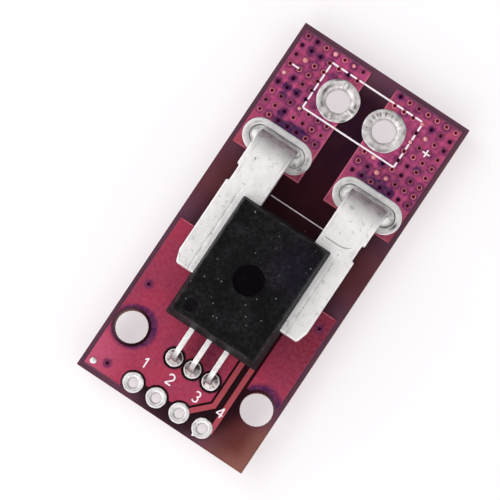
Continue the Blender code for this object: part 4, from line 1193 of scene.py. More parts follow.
def mirrored_x(mesh, middle):
    """Mirror a mesh about an upright plane across X and turn its faces back outwards."""
    co = np.empty(len(mesh.vertices) * 3, np.float32)
    mesh.vertices.foreach_get("co", co)
    co[0::3] = 2 * middle - co[0::3]
    mesh.vertices.foreach_set("co", co)
    mesh.flip_normals()
    return mesh


def conductor_leg(name, side):
    """One wing and leg of the folded conductor, from the wing's end to the leg's tip.

    The outer edge steps in over the notch and narrows at the wing's end. A shallow groove
    runs beside the moulding where its tool closed on the strip.
    """
    s = sizes()
    low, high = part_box("primary_conductor")
    body_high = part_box("package_body")[1]
    middle = (low.x + high.x) / 2
    reach = s.strip_bend + s.strip_thickness / 2
    drop_y = high.y - s.strip_thickness / 2
    level = high.z - s.strip_thickness / 2
    notch_low = body_high.y + s.notch_start
    notch_high = notch_low + s.notch_length
    step = 0.05 * MM
    stations = np.concatenate([
        run_of(low.y, low.y + s.wing_chamfer_length, 0.1 * MM)[:-1],
        run_of(low.y + s.wing_chamfer_length, notch_low - step, 0.2 * MM),
        run_of(notch_low, notch_low + step, step),
        run_of(notch_low + 2 * step, notch_high - 2 * step, 0.2 * MM),
        run_of(notch_high - step, notch_high, step),
        run_of(notch_high + step, drop_y - reach, 0.2 * MM)[:-1],
    ])
    line, normal = fold_path(low.y, stations, drop_y, level, 0.0, reach)
    outer = np.full(len(line), high.x)
    along = line[:, 0]
    flat = np.arange(len(line)) < len(stations)
    past = np.clip((along - low.y) / s.wing_chamfer_length, 0, 1)
    outer -= s.wing_chamfer_width * (1 - past) * flat
    inside = ease((along - notch_low) / step + 0.5) - ease((along - notch_high) / step + 0.5)
    outer -= s.notch_depth * inside * flat
    inner = np.full(len(line), middle + s.leg_gap / 2)
    section = rounded_section(s.strip_thickness / 2, s.strip_edge, 44)
    groove_x = body_high.x + s.witness_line - middle
    groove_end = body_high.y + 0.3 * MM
    seed = 31 if side > 0 else 47

    def field(x, y, lift):
        groove = -0.03 * MM * bell(x - middle - groove_x, 0.05 * MM)
        groove = groove * (y < groove_end) * (lift > 0)
        return groove + 0.006 * MM * wander(x, y, 0.9 * MM, seed)

    def crease(x, y, z):
        on_top = z > level
        marks = bell(x - middle - groove_x, 0.06 * MM) * (y < groove_end) * on_top
        marks = marks * (0.2 + 0.22 * wander(x, y, 1.1 * MM, seed + 2))
        # Painted shade on the bend, and a line that a tool rubbed beside each edge
        bend_shade = ease((y - (drop_y - 0.75 * MM)) / (1.2 * MM))
        from_edge = np.minimum(x - middle - s.leg_gap / 2, high.x - s.notch_depth - x)
        rubbed = bell(from_edge - 0.27 * MM, 0.06 * MM) * on_top
        rubbed = rubbed * (y > body_high.y + 0.4 * MM)
        rubbed = rubbed * (0.16 + 0.2 * wander(x, y, 1.3 * MM, seed + 4))
        bend_shade = bend_shade * (1 + 0.22 * wander(0.4 * x, y, 0.5 * MM, seed + 6))
        return np.clip(marks + rubbed + 0.7 * bend_shade, 0, 1)

    mesh = strip_surface(name, line, normal, inner, outer, section, s.strip_edge, field, crease)
    if side < 0:
        mesh = mirrored_x(mesh, middle)
    return mesh


def conductor_yoke(name):
    """Bar of the conductor inside the moulding that joins the wings, with its narrow waist.

    The waist's edges and the bar's far edge are given in millimetres from the wings' ends.
    """
    s = sizes()
    waist_half, waist_near, bar_far, waist_in = 1.9 * MM, 0.6, 5.2, 1.4
    low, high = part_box("primary_conductor")
    middle = (low.x + high.x) / 2
    level = high.z - s.strip_thickness / 2
    half = s.leg_gap / 2 + s.strip_edge
    x = run_of(-half, half, 0.2 * MM)
    narrow = ease((waist_half - np.abs(x)) / (0.2 * MM))
    y_low = low.y + (1 - narrow) * s.strip_edge + narrow * waist_near * MM + s.strip_edge
    y_high = low.y + bar_far * MM - narrow * waist_in * MM - s.strip_edge
    share, shift, lift = rounded_section(s.strip_thickness / 2 - 0.01 * MM, s.strip_edge, 10)
    y = y_low[:, None] * share + y_high[:, None] * (1 - share) - shift
    points = np.stack([middle + x[:, None] + 0 * y, y, level + lift[None] + 0 * y], axis=-1)
    return surface(name, points)


def signal_lead(name, node):
    """Signal lead: level out of the moulding, then down through the board."""
    s = sizes()
    low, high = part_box(node)
    reach = s.lead_bend + s.lead_thickness / 2
    drop_y = low.y + s.lead_thickness / 2
    level = high.z - s.lead_thickness / 2
    stations = run_of(high.y, drop_y + reach, 0.12 * MM)[:-1]
    line, normal = fold_path(high.y, stations, drop_y, level, 0.0, reach, 18, 12)
    section = rounded_section(s.lead_thickness / 2, s.lead_edge, 7, 3)
    inner = np.full(len(line), low.x)
    outer = np.full(len(line), high.x)
    seed = sum(map(ord, node))

    def field(x, y, lift):
        return 0.004 * MM * wander(x, y, 0.5 * MM, seed)

    def crease(x, y, z):
        # Painted shade where the lead bends down to the board
        bend_shade = ease((drop_y + 0.85 * MM - y) / (0.8 * MM))
        return np.clip(0.1 * wander(x, y, 0.7 * MM, seed + 3) + 0.75 * bend_shade, 0, 0.9)

    mesh = strip_surface(name, line, normal, inner, outer, section, s.lead_edge, field, crease)
    mesh.flip_normals()
    return mesh


def moulding_outline(half_x, half_y, corner, per_side_x, per_side_y, corner_samples=6):
    """Rounded rectangle, counter-clockwise from the far end of its right side."""
    quarter = np.linspace(0.0, math.pi / 2, corner_samples + 1)
    arcs = []
    for k, (side_x, side_y) in enumerate(((1, 1), (-1, 1), (-1, -1), (1, -1))):
        angle = quarter + k * math.pi / 2
        centre = np.array([side_x * (half_x - corner), side_y * (half_y - corner)])
        arcs.append(centre + corner * np.stack([np.cos(angle), np.sin(angle)], axis=-1))
    parts = []
    counts = (per_side_x, per_side_y, per_side_x, per_side_y)
    for arc, following, count in zip(arcs, arcs[1:] + arcs[:1], counts):
        share = np.linspace(0.0, 1.0, count + 2)[1:-1, None]
        parts += [arc, arc[-1] * (1 - share) + following[0] * share]
    return np.concatenate(parts)


# Edge of the recess in millimetres: out from its radius, and down where it is 0.25 deep
RECESS_EDGE = ((0.03, 0.012), (0.0, 0.05), (-0.02, 0.2), (-0.06, 0.24), (-0.12, 0.25))


def moulding_surface(name):
    """The moulding: rounded rectangles stacked up a drafted profile, closed over the top.

    The top runs from its edge in to a round recess, as a blend between the rectangle and a
    circle. The dimple is a soft-edged round drop in that face.
    """
    s = sizes()
    low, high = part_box("package_body")
    middle = (low + high) / 2
    half_x = (high.x - low.x) / 2
    half_y = (high.y - low.y) / 2
    base = low.z
    top = high.z
    parting = base + s.parting
    rounding = [
        (s.edge * (1 - math.sin(q)), s.edge * (1 - math.cos(q)))
        for q in np.linspace(0.0, math.pi / 2, 6)
    ]
    wall = [(s.draft + ahead, base + behind) for ahead, behind in rounding]
    wall += [
        (s.draft * (1 - t), base + s.edge + t * (parting - base - s.edge))
        for t in (0.25, 0.5, 0.75, 0.96)
    ]
    wall += [(0.0, parting - 0.03 * MM), (0.0, parting + 0.03 * MM)]
    wall += [
        (s.draft * t, parting + t * (top - s.edge - parting)) for t in (0.06, 0.25, 0.5, 0.75)
    ]
    wall += [(s.draft + behind, top - ahead) for ahead, behind in rounding]
    rows = []
    heights = []
    rub = []

    def add_row(plan, height, rubbed=0.0):
        rows.append(plan)
        heights.append(height + np.zeros(len(plan)))
        rub.append(np.full(len(plan), rubbed))

    outlines = [
        moulding_outline(half_x - inset, half_y - inset, s.corner, 70, 92) for inset, _ in wall
    ]
    for share in (0.02, 0.5, 0.97):
        add_row(outlines[0] * share, base)
    # Walls and rounded edges get the rub label: wear and a painted highlight
    for k, (outline, (_, z)) in enumerate(zip(outlines, wall)):
        add_row(outline, z, 1.0 if k >= len(wall) - len(rounding) else 0.5)
    rim = outlines[-1]
    direction = rim / np.linalg.norm(rim, axis=1, keepdims=True)
    ring = direction * (s.recess_radius + 0.05 * MM)
    dimple = np.array([-half_x + s.dimple_from_side, -half_y + s.dimple_from_end])
    for share in np.concatenate([[0.015, 0.03, 0.06], np.linspace(0.1, 1.0, 52)]):
        plan = rim * (1 - share) + ring * share
        gap = np.linalg.norm(plan - dimple, axis=1)
        drop = s.dimple_depth * ease((s.dimple_radius + 0.05 * MM - gap) / (0.1 * MM))
        waves = np.maximum(2.2 + wander(plan[:, 0], plan[:, 1], 1.6 * MM, 71), 0.0)
        add_row(plan, top - drop - 0.003 * MM * waves, max(0.0, 0.6 - share * 18))
    for shift, drop in RECESS_EDGE:
        deep = drop / RECESS_EDGE[-1][1] * s.recess_depth
        add_row(direction * (s.recess_radius + shift * MM), top - deep)
    for share in (0.75, 0.45, 0.15, 0.02):
        add_row(direction * s.recess_radius * share, top - s.recess_depth)
    plan = np.stack(rows)
    height = np.stack(heights)
    points = placed(plan, height, middle)
    from_middle = np.linalg.norm(plan, axis=-1)
    from_dimple = np.linalg.norm(plan - dimple, axis=-1)
    polish = (height > parting) * np.maximum(
        ease((s.recess_radius - from_middle) / (0.06 * MM)),
        ease((s.dimple_radius - from_dimple) / (0.06 * MM)),
    )
    patchy = 0.6 + 0.5 * wander(points[..., 0], points[..., 1], 1.3 * MM, 5)
    worn = np.stack(rub) * np.clip(patchy, 0, 1)
    return surface(name, points, attributes={"rub": worn, "polish": polish})


def leg_solder(name, pole):
    """Solder round a conductor leg: a concave fillet from the leg to the ring on each face.

    The reach runs from the leg's rectangular face to an oblong, as a blend. The height
    falls with a power of the blend, and random waves make the frozen streaks.
    """
    s = sizes()
    ring_low, ring_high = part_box(f"slot_ring_{pole}")
    middle = (ring_low + ring_high) / 2
    strip_low, strip_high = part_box("primary_conductor")
    half_straight = (ring_high.x - ring_low.x - (ring_high.y - ring_low.y)) / 2
    centres, outward, turn = oblong(half_straight, 96, 70)
    leg_y = strip_high.y - s.strip_thickness / 2 - middle.y
    side = -1 if pole == "minus" else 1
    conductor_x = (strip_low.x + strip_high.x) / 2
    outer_x = strip_high.x - conductor_x
    leg_x = conductor_x + side * (outer_x + s.leg_gap / 2) / 2 - middle.x
    half_leg = (outer_x - s.leg_gap / 2) / 2
    half_thick = s.strip_thickness / 2
    skin = 0.03 * MM
    gap_x = np.where(outward[:, 0] > 0, leg_x + half_leg, leg_x - half_leg) - centres[:, 0]
    gap_y = np.where(outward[:, 1] > 0, leg_y + half_thick, leg_y - half_thick)
    with np.errstate(divide="ignore", invalid="ignore"):
        hit_x = np.where(np.abs(outward[:, 0]) > 1e-6, gap_x / outward[:, 0], 1.0)
        hit_y = np.where(np.abs(outward[:, 1]) > 1e-6, (gap_y - centres[:, 1]) / outward[:, 1], 1.0)
    inner = np.minimum(np.where(hit_x > 0, hit_x, 1.0), np.where(hit_y > 0, hit_y, 1.0)) - skin
    seed = 17 if pole == "minus" else 29
    edge = s.slot_bore + 0.02 * MM + 0.008 * MM * ripple(turn, seed, 9, 1)
    climb = (0.36 + 0.2 * ripple(turn, seed + 1, 9, 1)) * MM
    blend = np.array([
        1.0, 0.985, 0.95, 0.9, 0.84, 0.77, 0.69, 0.6, 0.5, 0.4, 0.3, 0.21, 0.13, 0.07, 0.03, 0.0,
    ])[:, None]
    rim = 0.1 * MM * bell(blend - 0.36, 0.12) * (1 + 0.5 * ripple(turn, seed + 3, 16, 3))
    valley = 0.07 * MM * bell(blend - 0.74, 0.16) * (1 + 0.9 * ripple(turn, seed + 7, 18, 4))
    upper_z = PAD_TOP - 0.015 * MM + rim - valley
    upper_z = upper_z + climb * (1 - blend) ** 3.2 - 0.1 * MM * blend ** 24
    upper_z = upper_z + 0.012 * MM * (ripple(turn, seed + 2, 30, 12) * np.sin(blend * math.pi))
    upper_r = inner + (edge - inner) * blend
    low_blend = blend[::-1]
    spread_low = s.slot_bore + 0.4 * MM
    fall = (0.55 + 0.1 * ripple(turn, seed + 4, 5, 1)) * MM
    lower_r = inner + (spread_low - inner) * low_blend
    lower_z = PAD_BOTTOM - fall * (1 - low_blend) ** 1.6
    hidden_z = np.array([[PAD_BOTTOM + 0.02 * MM], [PAD_TOP - 0.04 * MM]]) + 0 * turn
    hidden_r = s.slot_bore - 0.03 * MM + 0 * hidden_z
    profile = np.stack([
        np.concatenate([upper_r, lower_r, hidden_r]),
        np.concatenate([upper_z, lower_z, hidden_z]),
    ], axis=-1)
    # From the ring inwards: a painted dark reflection, blotches, and painted shade against the leg
    dark = np.zeros(profile.shape[:2])
    line_here = np.clip(0.65 + 0.5 * ripple(turn, seed + 6, 12, 1), 0, 1)
    dark[0:4] = line_here[None] * np.array([1.0, 1.0, 1.0, 0.7])[:, None]
    blotch = np.clip(ripple(turn, seed + 8, 22, 3) - 0.15, 0, 1) * (0.5 + 0.5 * outward[:, 0])
    dark[4:8] = np.clip(0.3 + 0.3 * ripple(turn, seed + 9, 14, 2) + blotch, 0, 1)[None]
    dark[8:12] = 0.8 * blotch[None]
    dark[13:16] = 0.9
    points = carry(profile, centres, outward, middle)
    return surface(name, points, along=True, attributes={"crease": dark})


def lead_solder(name, ring, lead):
    """Solder round a signal lead: a full dome on the component face, a cone underneath."""
    s = sizes()
    ring_low, ring_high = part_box(ring)
    lead_low, lead_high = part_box(lead)
    middle = (ring_low + ring_high) / 2
    lead_x = (lead_low.x + lead_high.x) / 2 - middle.x
    lead_y = lead_low.y + s.lead_thickness / 2 - middle.y
    half_x = (lead_high.x - lead_low.x) / 2
    half_y = s.lead_thickness / 2
    _, outward, turn = oblong(0.0, 64)
    pad = (ring_high.x - ring_low.x) / 2
    skin = 0.02 * MM
    seed = sum(map(ord, ring))
    inner_plan = np.stack([
        lead_x + (half_x - skin) * np.sign(outward[:, 0]) * np.abs(outward[:, 0]) ** 0.35,
        lead_y + (half_y - skin) * np.sign(outward[:, 1]) * np.abs(outward[:, 1]) ** 0.35,
    ], axis=-1)
    edge = pad - 0.07 * MM + 0.03 * MM * ripple(turn, seed, 7, 2)
    blend = np.array([1.0, 0.985, 0.94, 0.86, 0.75, 0.62, 0.48, 0.34, 0.2, 0.08, 0.0])[:, None]
    dome = 0.27 * MM * (1 - blend ** 2.2) + 0.33 * MM * (1 - blend) ** 3.5
    wave = 0.1 * ripple(turn, seed + 1, 4, 1) + 0.16 * ripple(turn, seed + 6, 12, 4)
    upper_z = PAD_TOP - 0.01 * MM + dome * (1 + np.sin(blend * math.pi) * wave)
    low_blend = blend[::-1]
    lower_z = PAD_BOTTOM - 0.75 * MM * (1 - low_blend) ** 1.7 + 0 * turn
    hidden_z = np.array([[PAD_BOTTOM + 0.02 * MM], [PAD_TOP - 0.03 * MM]]) + 0 * turn
    reach = np.concatenate([blend, low_blend])[..., None]
    plan = inner_plan * (1 - reach) + outward * edge[:, None] * reach
    hidden = np.stack([outward * (s.signal_bore - 0.03 * MM)] * 2)
    plan = np.concatenate([plan, hidden])
    z = np.concatenate([upper_z, lower_z, hidden_z])
    points = placed(plan, z, middle)
    # Painted dark reflections mottle the dome, and painted shade lies against the lead
    dark = np.zeros(z.shape)
    mottle = ripple(turn, seed + 3, 11, 3)
    mottle = np.clip(0.4 + 0.5 * mottle / mottle.std(), 0, 1)
    dark[3:9] = arch(0.15, 1.0, 6)[:, None] * mottle[None]
    dark[8:11] = 0.5
    return surface(name, points, along=True, attributes={"crease": dark})


def via_grid_origin():
    """Middle column of the plus side's via grid and its first row, from the copper's edges."""
    s = sizes()
    low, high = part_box("power_copper_plus")
    return (low.x + high.x) / 2 + s.via_shift, high.y - s.via_to_edge


def via_spots(indices):
    """Places of vias given as (side, column, row) of the power grids."""
    s = sizes()
    middle, first = via_grid_origin()
    return [
        (side * middle + (column - HALF_COLUMNS) * s.via_pitch, first - row * s.via_pitch)
        for side, column, row in indices
    ]


def via_places():
    """All open vias: the two power grids clear of their pads, and the ground vias."""
    s = sizes()
    middle, first = via_grid_origin()
    places = []
    for side, pole in ((-1, "minus"), (1, "plus")):
        terminal = node_middle(f"terminal_ring_{pole}")
        ring_low, ring_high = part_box(f"terminal_ring_{pole}")
        slot_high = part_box(f"slot_ring_{pole}")[1].y
        columns = np.arange(-HALF_COLUMNS, HALF_COLUMNS + 1)
        column, row = np.meshgrid(columns, np.arange(GRID_ROWS))
        x = side * middle + column.ravel() * s.via_pitch
        y = first - row.ravel() * s.via_pitch
        reach = np.hypot(x - terminal.x, y - terminal.y)
        clear = reach > (ring_high.x - ring_low.x) / 2 + s.via_to_pad
        clear &= y > slot_high + s.via_to_pad
        places.append(np.stack([x[clear], y[clear]], axis=-1))
    ground = np.array(GROUND_VIAS) * MM
    return np.concatenate(places), ground


def via_rims(name):
    """Rims of the vias: a profile turned round each hole, tented with mask underneath.

    Every via is the same cup moved to its place, so the whole field is one array.
    """
    s = sizes()
    power, ground = via_places()
    places = np.concatenate([power, ground])
    steps = 20
    angle = np.arange(steps) / steps * math.tau
    outward = np.stack([np.cos(angle), np.sin(angle)], axis=-1)
    rng = np.random.default_rng(12)
    rise = 0.022 * MM
    hair = 0.004 * MM
    profile = np.array([
        (0.3 * s.via_bore, COPPER_BOTTOM - rise), (s.via_land - 0.03 * MM, COPPER_BOTTOM - rise),
        (s.via_land, COPPER_BOTTOM + 0.01 * MM), (s.via_bore + hair, COPPER_BOTTOM + 0.02 * MM),
        (s.via_bore + hair, COPPER_TOP - 0.02 * MM), (s.via_land, COPPER_TOP - 0.01 * MM),
        (s.via_land - 0.02 * MM, COPPER_TOP + 0.7 * rise),
        (s.via_mouth + 0.04 * MM, COPPER_TOP + rise),
        (s.via_mouth, COPPER_TOP + 0.7 * rise), (s.via_bore + 2 * hair, COPPER_TOP + hair),
        (s.via_bore, COPPER_TOP - 0.04 * MM), (s.via_bore, COPPER_TOP - 0.1 * MM),
        (0.3 * s.via_bore, COPPER_TOP - 0.16 * MM),
    ])
    count = len(places)
    rows = len(profile)
    ring = carry(profile, np.zeros((steps, 2)), outward, (0.0, 0.0))
    points = np.tile(ring[None], (count, 1, 1, 1))
    points[..., :2] += places[:, None, None, :]
    index = np.arange(count * rows * steps).reshape(count, rows, steps)
    right = np.roll(index, -1, axis=2)
    walls = np.stack(
        [index[:, :-1], right[:, :-1], right[:, 1:], index[:, 1:]], axis=-1
    ).reshape(-1, 4)
    faces = walls.tolist() + index[:, 0, ::-1].tolist() + index[:, -1].tolist()
    mesh = bpy.data.meshes.new(name)
    mesh.from_pydata(points.reshape(-1, 3).tolist(), [], faces)
    # Tone of each rim: by chance, but thick mask darkens the deep ones and the ground's
    tone = np.clip(rng.normal(0.56, 0.36, count), 0.1, 1.0)
    deep = np.array(via_spots(DEEP_VIAS))
    gaps = np.linalg.norm(places[:, None] - deep[None], axis=-1).min(axis=1)
    tone[gaps < 0.1 * MM] = 0.02
    tone[len(power):] = 0.15
    tones = np.broadcast_to(tone[:, None, None], (count, rows, steps)).ravel()
    mouth = 8
    dark = np.zeros((count, rows, steps))
    dark[:, mouth] = 0.75
    dark[:, mouth + 1:] = 1.0
    label_points(mesh, "tone", tones)
    label_points(mesh, "crease", dark.ravel())
    return mesh


def bead(name, place, radius, height, level, seed, steps=28):
    """Small frozen drop: height falls as the root of one minus the squared share of the radius."""
    share = np.array([1.0, 0.98, 0.92, 0.8, 0.62, 0.4, 0.18, 0.03])
    centres, outward, turn = oblong(0.0, steps)
    rise = height * np.sqrt(1 - share ** 2)
    reach = radius * share[:, None] * (1 + 0.06 * ripple(turn, seed, 4, 2))[None]
    profile = np.stack([reach, level + rise[:, None] + 0 * reach], axis=-1)
    base = np.stack([reach[:1] * 0.3, level - 0.01 * MM + 0 * reach[:1]], axis=-1)
    points = carry(np.concatenate([base, profile]), centres, outward, place)
    crease = np.zeros(points.shape[:2])
    # Painted shade round the edge of the drop
    crease[1:3] = 0.7
    return surface(name, points, attributes={"crease": crease})


def copper_cover(x, y):
    """Share of copper under a point, from 0 on bare laminate to 1, with soft edges.

    It knows the power areas, the ground's left area with its slanted corner, and one track.
    """
    soft = 0.08 * MM
    track_width = 0.5 * MM
    ground_to_track = 0.22 * MM
    corner_shift = 1.0 * MM
    ground_foot = 0.43 * MM
    cover = np.zeros_like(x)
    for node in ("power_copper_minus", "power_copper_plus"):
        low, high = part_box(node)
        inside = np.minimum(np.minimum(x - low.x, high.x - x), np.minimum(y - low.y, high.y - y))
        cover = np.maximum(cover, ease(inside / soft + 0.5))
    other_low, other_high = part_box("signal_track_4")
    ground_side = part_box("signal_track_3")[1].x - track_width - ground_to_track
    ground_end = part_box("ground_copper")[1].y
    below = (x - y) - (ground_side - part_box("header_ring_3")[1].y - corner_shift)
    left = np.minimum(ground_side - x, ground_end - y)
    left = np.minimum(left, y - (node_middle("header_ring_1").y + ground_foot))
    left = np.minimum(left, -below / math.sqrt(2))
    cover = np.maximum(cover, ease(left / soft + 0.5))
    lane = np.minimum(x - other_low.x, other_high.x - x)
    cover = np.maximum(cover, ease(lane / soft + 0.5))
    return cover


def ink_stroke(name, points, width):
    """One printed stroke: a low lens section carried along a line, draped over the copper.

    The width closes as a half circle at both ends, as a round pen leaves it.
    """
    s = sizes()
    points = np.array(points, float)
    steps = np.linalg.norm(np.diff(points, axis=0), axis=1)
    run = np.concatenate([[0.0], np.cumsum(steps)])
    total = run[-1]
    count = max(8, int(total / (0.08 * MM)))
    at = np.linspace(0.0, total, count)
    ends = np.array([0.0, 0.03, 0.1, 0.2]) * width
    at = np.unique(np.concatenate([at, ends, total - ends]))
    line = np.stack([np.interp(at, run, points[:, k]) for k in (0, 1)], axis=-1)
    ahead = np.gradient(line, axis=0)
    ahead /= np.maximum(np.linalg.norm(ahead, axis=1, keepdims=True), 1e-12)
    side = np.stack([-ahead[:, 1], ahead[:, 0]], axis=-1)
    to_end = np.clip(np.minimum(at, total - at) / (width / 2), 0.0, 1.0)
    half = width / 2 * np.sqrt(np.clip(1 - (1 - to_end) ** 2, 0.02, 1.0))
    across = np.array([1.0, 0.8, 0.0, -0.8, -1.0, -0.8, 0.0, 0.8])
    lift = np.array([0.1, 0.9, 1.0, 0.9, 0.1, -0.6, -0.6, -0.6]) * s.print_thickness
    plan = line[:, None, :] + side[:, None, :] * (half[:, None] * across[None])[..., None]
    cover = copper_cover(plan[..., 0], plan[..., 1])
    level = LAMINATE_TOP + (COPPER_TOP - LAMINATE_TOP) * cover
    z = level + lift[None] + 0.006 * MM
    mesh = surface(name, np.concatenate([plan, z[..., None]], axis=-1))
    mesh.flip_normals()
    return mesh


def arc_points(centre, radius, start, end, steps=9):
    """Points of an arc, from a start to an end in degrees."""
    angle = np.radians(np.linspace(start, end, steps))
    return np.array(centre) + radius * np.stack([np.cos(angle), np.sin(angle)], axis=-1)


def figure_strokes(figure):
    """Strokes of a plain figure in a cell one unit high, standing on y = 0."""
    if figure == "1":
        return [np.array([(-0.2, 0.75), (0.05, 1.0), (0.05, 0.0)])]
    if figure == "2":
        bow = arc_points((0.0, 0.7), 0.3, 165, -35)
        return [np.concatenate([bow, [(-0.3, 0.0), (0.32, 0.0)]])]
    if figure == "3":
        upper = arc_points((-0.02, 0.74), 0.26, 150, -90)
        lower = arc_points((-0.02, 0.25), 0.27, 90, -150)
        return [upper, lower]
    if figure == "4":
        return [np.array([(0.15, 0.0), (0.15, 1.0), (-0.32, 0.32), (0.36, 0.32)])]
    if figure == "plus":
        return [np.array([(-0.4, 0.5), (0.4, 0.5)]), np.array([(0.0, 0.1), (0.0, 0.9)])]
    return [np.array([(-0.4, 0.5), (0.4, 0.5)])]


def open_runs(start, end, holes, clearance):
    """Parts of a straight line that stay clear of the holes it crosses."""
    start = np.array(start, float)
    end = np.array(end, float)
    total = np.linalg.norm(end - start)
    way = (end - start) / total
    along = (holes - start) @ way
    off = np.abs((holes - start) @ np.array([-way[1], way[0]]))
    hit = (off < clearance) & (along > -clearance) & (along < total + clearance)
    half = np.sqrt(np.maximum(clearance ** 2 - off[hit] ** 2, 0.0))
    cuts = sorted(zip(along[hit] - half, along[hit] + half))
    runs = []
    here = 0.0
    for low, high in cuts + [(total, total)]:
        if low - here > 0.12 * MM:
            runs.append((start + way * here, start + way * min(low, total)))
        here = max(here, high)
    return runs


def tin_ring(node, finish, *sizes_of_it, **looks):
    """Put a plated ring in place of its node, with a finish."""
    mesh = plated_ring(node, *sizes_of_it, **looks)
    piece(f"tinned_{node}", mesh, shared(finish), (node,))


# Operators


class SensorOperator(bpy.types.Operator):
    """Common ground of the module's build steps."""

    bl_options = {"REGISTER", "UNDO"}

    def execute(self, context):
        self.build(context)
        return {"FINISHED"}


class SENSOR_OT_board(SensorOperator):
    """Finish the board's laminate, copper areas and tracks with solder mask"""

    bl_idname = "sensor.board"
    bl_label = "Board"

    def build(self, context):
        repaint("board_laminate", solder_mask_on_laminate())
        power = solder_mask_on_copper(True)
        for pole in POLES:
            repaint(f"power_copper_{pole}", power)
        repaint("ground_copper", solder_mask_on_copper(False))
        track = solder_mask_on_tracks()
        for node in ("signal_track_3", "signal_track_4", "supply_track", "output_track"):
            repaint(node, track)


class SENSOR_OT_rings(SensorOperator):
    """Make the levelled tin rings of the header, terminals, leads and slots"""

    bl_idname = "sensor.rings"
    bl_label = "Plated rings"

    def build(self, context):
        s = sizes()
        for node in HEADER_RINGS:
            spike = (0.69, 0.22 * MM, 0.018) if node == "header_ring_4" else None
            tin_ring(
                node, levelled_tin, s.header_bore, s.plating, s.header_wetting, spike=spike,
                stains=HEADER_STAINS,
            )
        for node in SIGNAL_RINGS:
            tin_ring(node, levelled_tin, s.signal_bore, s.plating, SIGNAL_WETTING)
        for pole in POLES:
            tin_ring(
                f"terminal_ring_{pole}", terminal_tin, s.terminal_bore, s.terminal_plating,
                s.terminal_wetting, nubs=(0.26, 0.765, 0.97) if pole == "minus" else (),
                groove_share=0.35, bore_shade=0.35, stains=TERMINAL_STAINS[pole],
            )
            node = f"slot_ring_{pole}"
            low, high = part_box(node)
            half = (high.x - low.x - (high.y - low.y)) / 2
            tin_ring(
                node, levelled_tin, s.slot_bore, s.plating, s.slot_wetting, half,
                groove_share=0.0, contour=1.0, stains=SLOT_STAINS,
            )


class SENSOR_OT_vias(SensorOperator):
    """Make the rims of the stitching vias and the solder that closed some of them"""

    bl_idname = "sensor.vias"
    bl_label = "Vias"

    def build(self, context):
        piece("via_rims", via_rims("via_rims"), via_plating())
        beads = [
            bead(f"bead_{k}", place, 0.175 * MM, 0.06 * MM, COPPER_TOP + 0.01 * MM, k)
            for k, place in enumerate(via_spots(CLOSED_VIAS))
        ]
        piece("via_solder", joined("via_solder", beads), masked_plug())


class SENSOR_OT_print(SensorOperator):
    """Print the terminal outline, the sensor's end line and plain figures"""

    bl_idname = "sensor.print"
    bl_label = "Print"

    def build(self, context):
        s = sizes()
        power, _ = via_places()
        left, right, high, low = (value * MM for value in OUTLINE)
        corners = ((left, high), (right, high), (right, low), (left, low), (left, high))
        strokes = []
        for start, end in zip(corners[:-1], corners[1:]):
            for run in open_runs(start, end, power, s.via_bore + INK_TO_VIA):
                strokes.append(ink_stroke("line", run, s.print_line))
        ink = printed_ink()
        piece("printed_outline", joined("printed_outline", strokes), ink)
        line = ink_stroke("line", np.array(END_LINE) * MM, s.print_hair)
        piece("printed_end_line", line, ink)
        figures = []
        for figure, x, y in FIGURES:
            for stroke in figure_strokes(figure):
                drawn = stroke * s.figure_height + np.array([x, y]) * MM
                figures.append(ink_stroke("figure", drawn, s.print_stroke))
        piece("printed_figures", joined("printed_figures", figures), ink)


class SENSOR_OT_conductor(SensorOperator):
    """Make the folded primary conductor with its two legs"""

    bl_idname = "sensor.conductor"
    bl_label = "Primary conductor"

    def build(self, context):
        legs = [conductor_leg("leg_plus", 1), conductor_leg("leg_minus", -1)]
        mesh = joined("folded_conductor", legs + [conductor_yoke("yoke")])
        piece("folded_conductor", mesh, shared(matte_tin), ("primary_conductor",))


class SENSOR_OT_leads(SensorOperator):
    """Make the three signal leads"""

    bl_idname = "sensor.leads"
    bl_label = "Signal leads"

    def build(self, context):
        for k in (1, 2, 3):
            node = f"signal_lead_{k}"
            mesh = signal_lead(f"bent_lead_{k}", node)
            piece(f"bent_lead_{k}", mesh, shared(matte_tin), (node,))


class SENSOR_OT_moulding(SensorOperator):
    """Make the black moulding, and finish what it holds"""

    bl_idname = "sensor.moulding"
    bl_label = "Moulding"

    def build(self, context):
        mesh = moulding_surface("epoxy_moulding")
        piece("epoxy_moulding", mesh, black_epoxy(), ("package_body",), 60.0)
        repaint("flux_core", soft_iron())
        repaint("hall_chip", die_silicon())


class SENSOR_OT_solder(SensorOperator):
    """Make the solder round the legs and leads, and the test dot"""

    bl_idname = "sensor.solder"
    bl_label = "Solder"

    def build(self, context):
        solder = shared(bright_solder)
        for pole in POLES:
            name = f"leg_fillet_{pole}"
            mesh = leg_solder(name, pole)
            piece(name, mesh, shared(levelled_tin), (f"slot_solder_{pole}",), 70.0)
        for k in (1, 2, 3):
            name = f"lead_fillet_{k}"
            mesh = lead_solder(name, f"signal_ring_{k}", f"signal_lead_{k}")
            piece(name, mesh, solder, (f"signal_solder_{k}",), 70.0)
        low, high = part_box("test_dot")
        middle = (low + high) / 2
        dot = bead("tinned_dot", middle, (high.x - low.x) / 2, high.z - low.z, low.z, 3)
        piece("tinned_dot", dot, shared(levelled_tin), ("test_dot",))


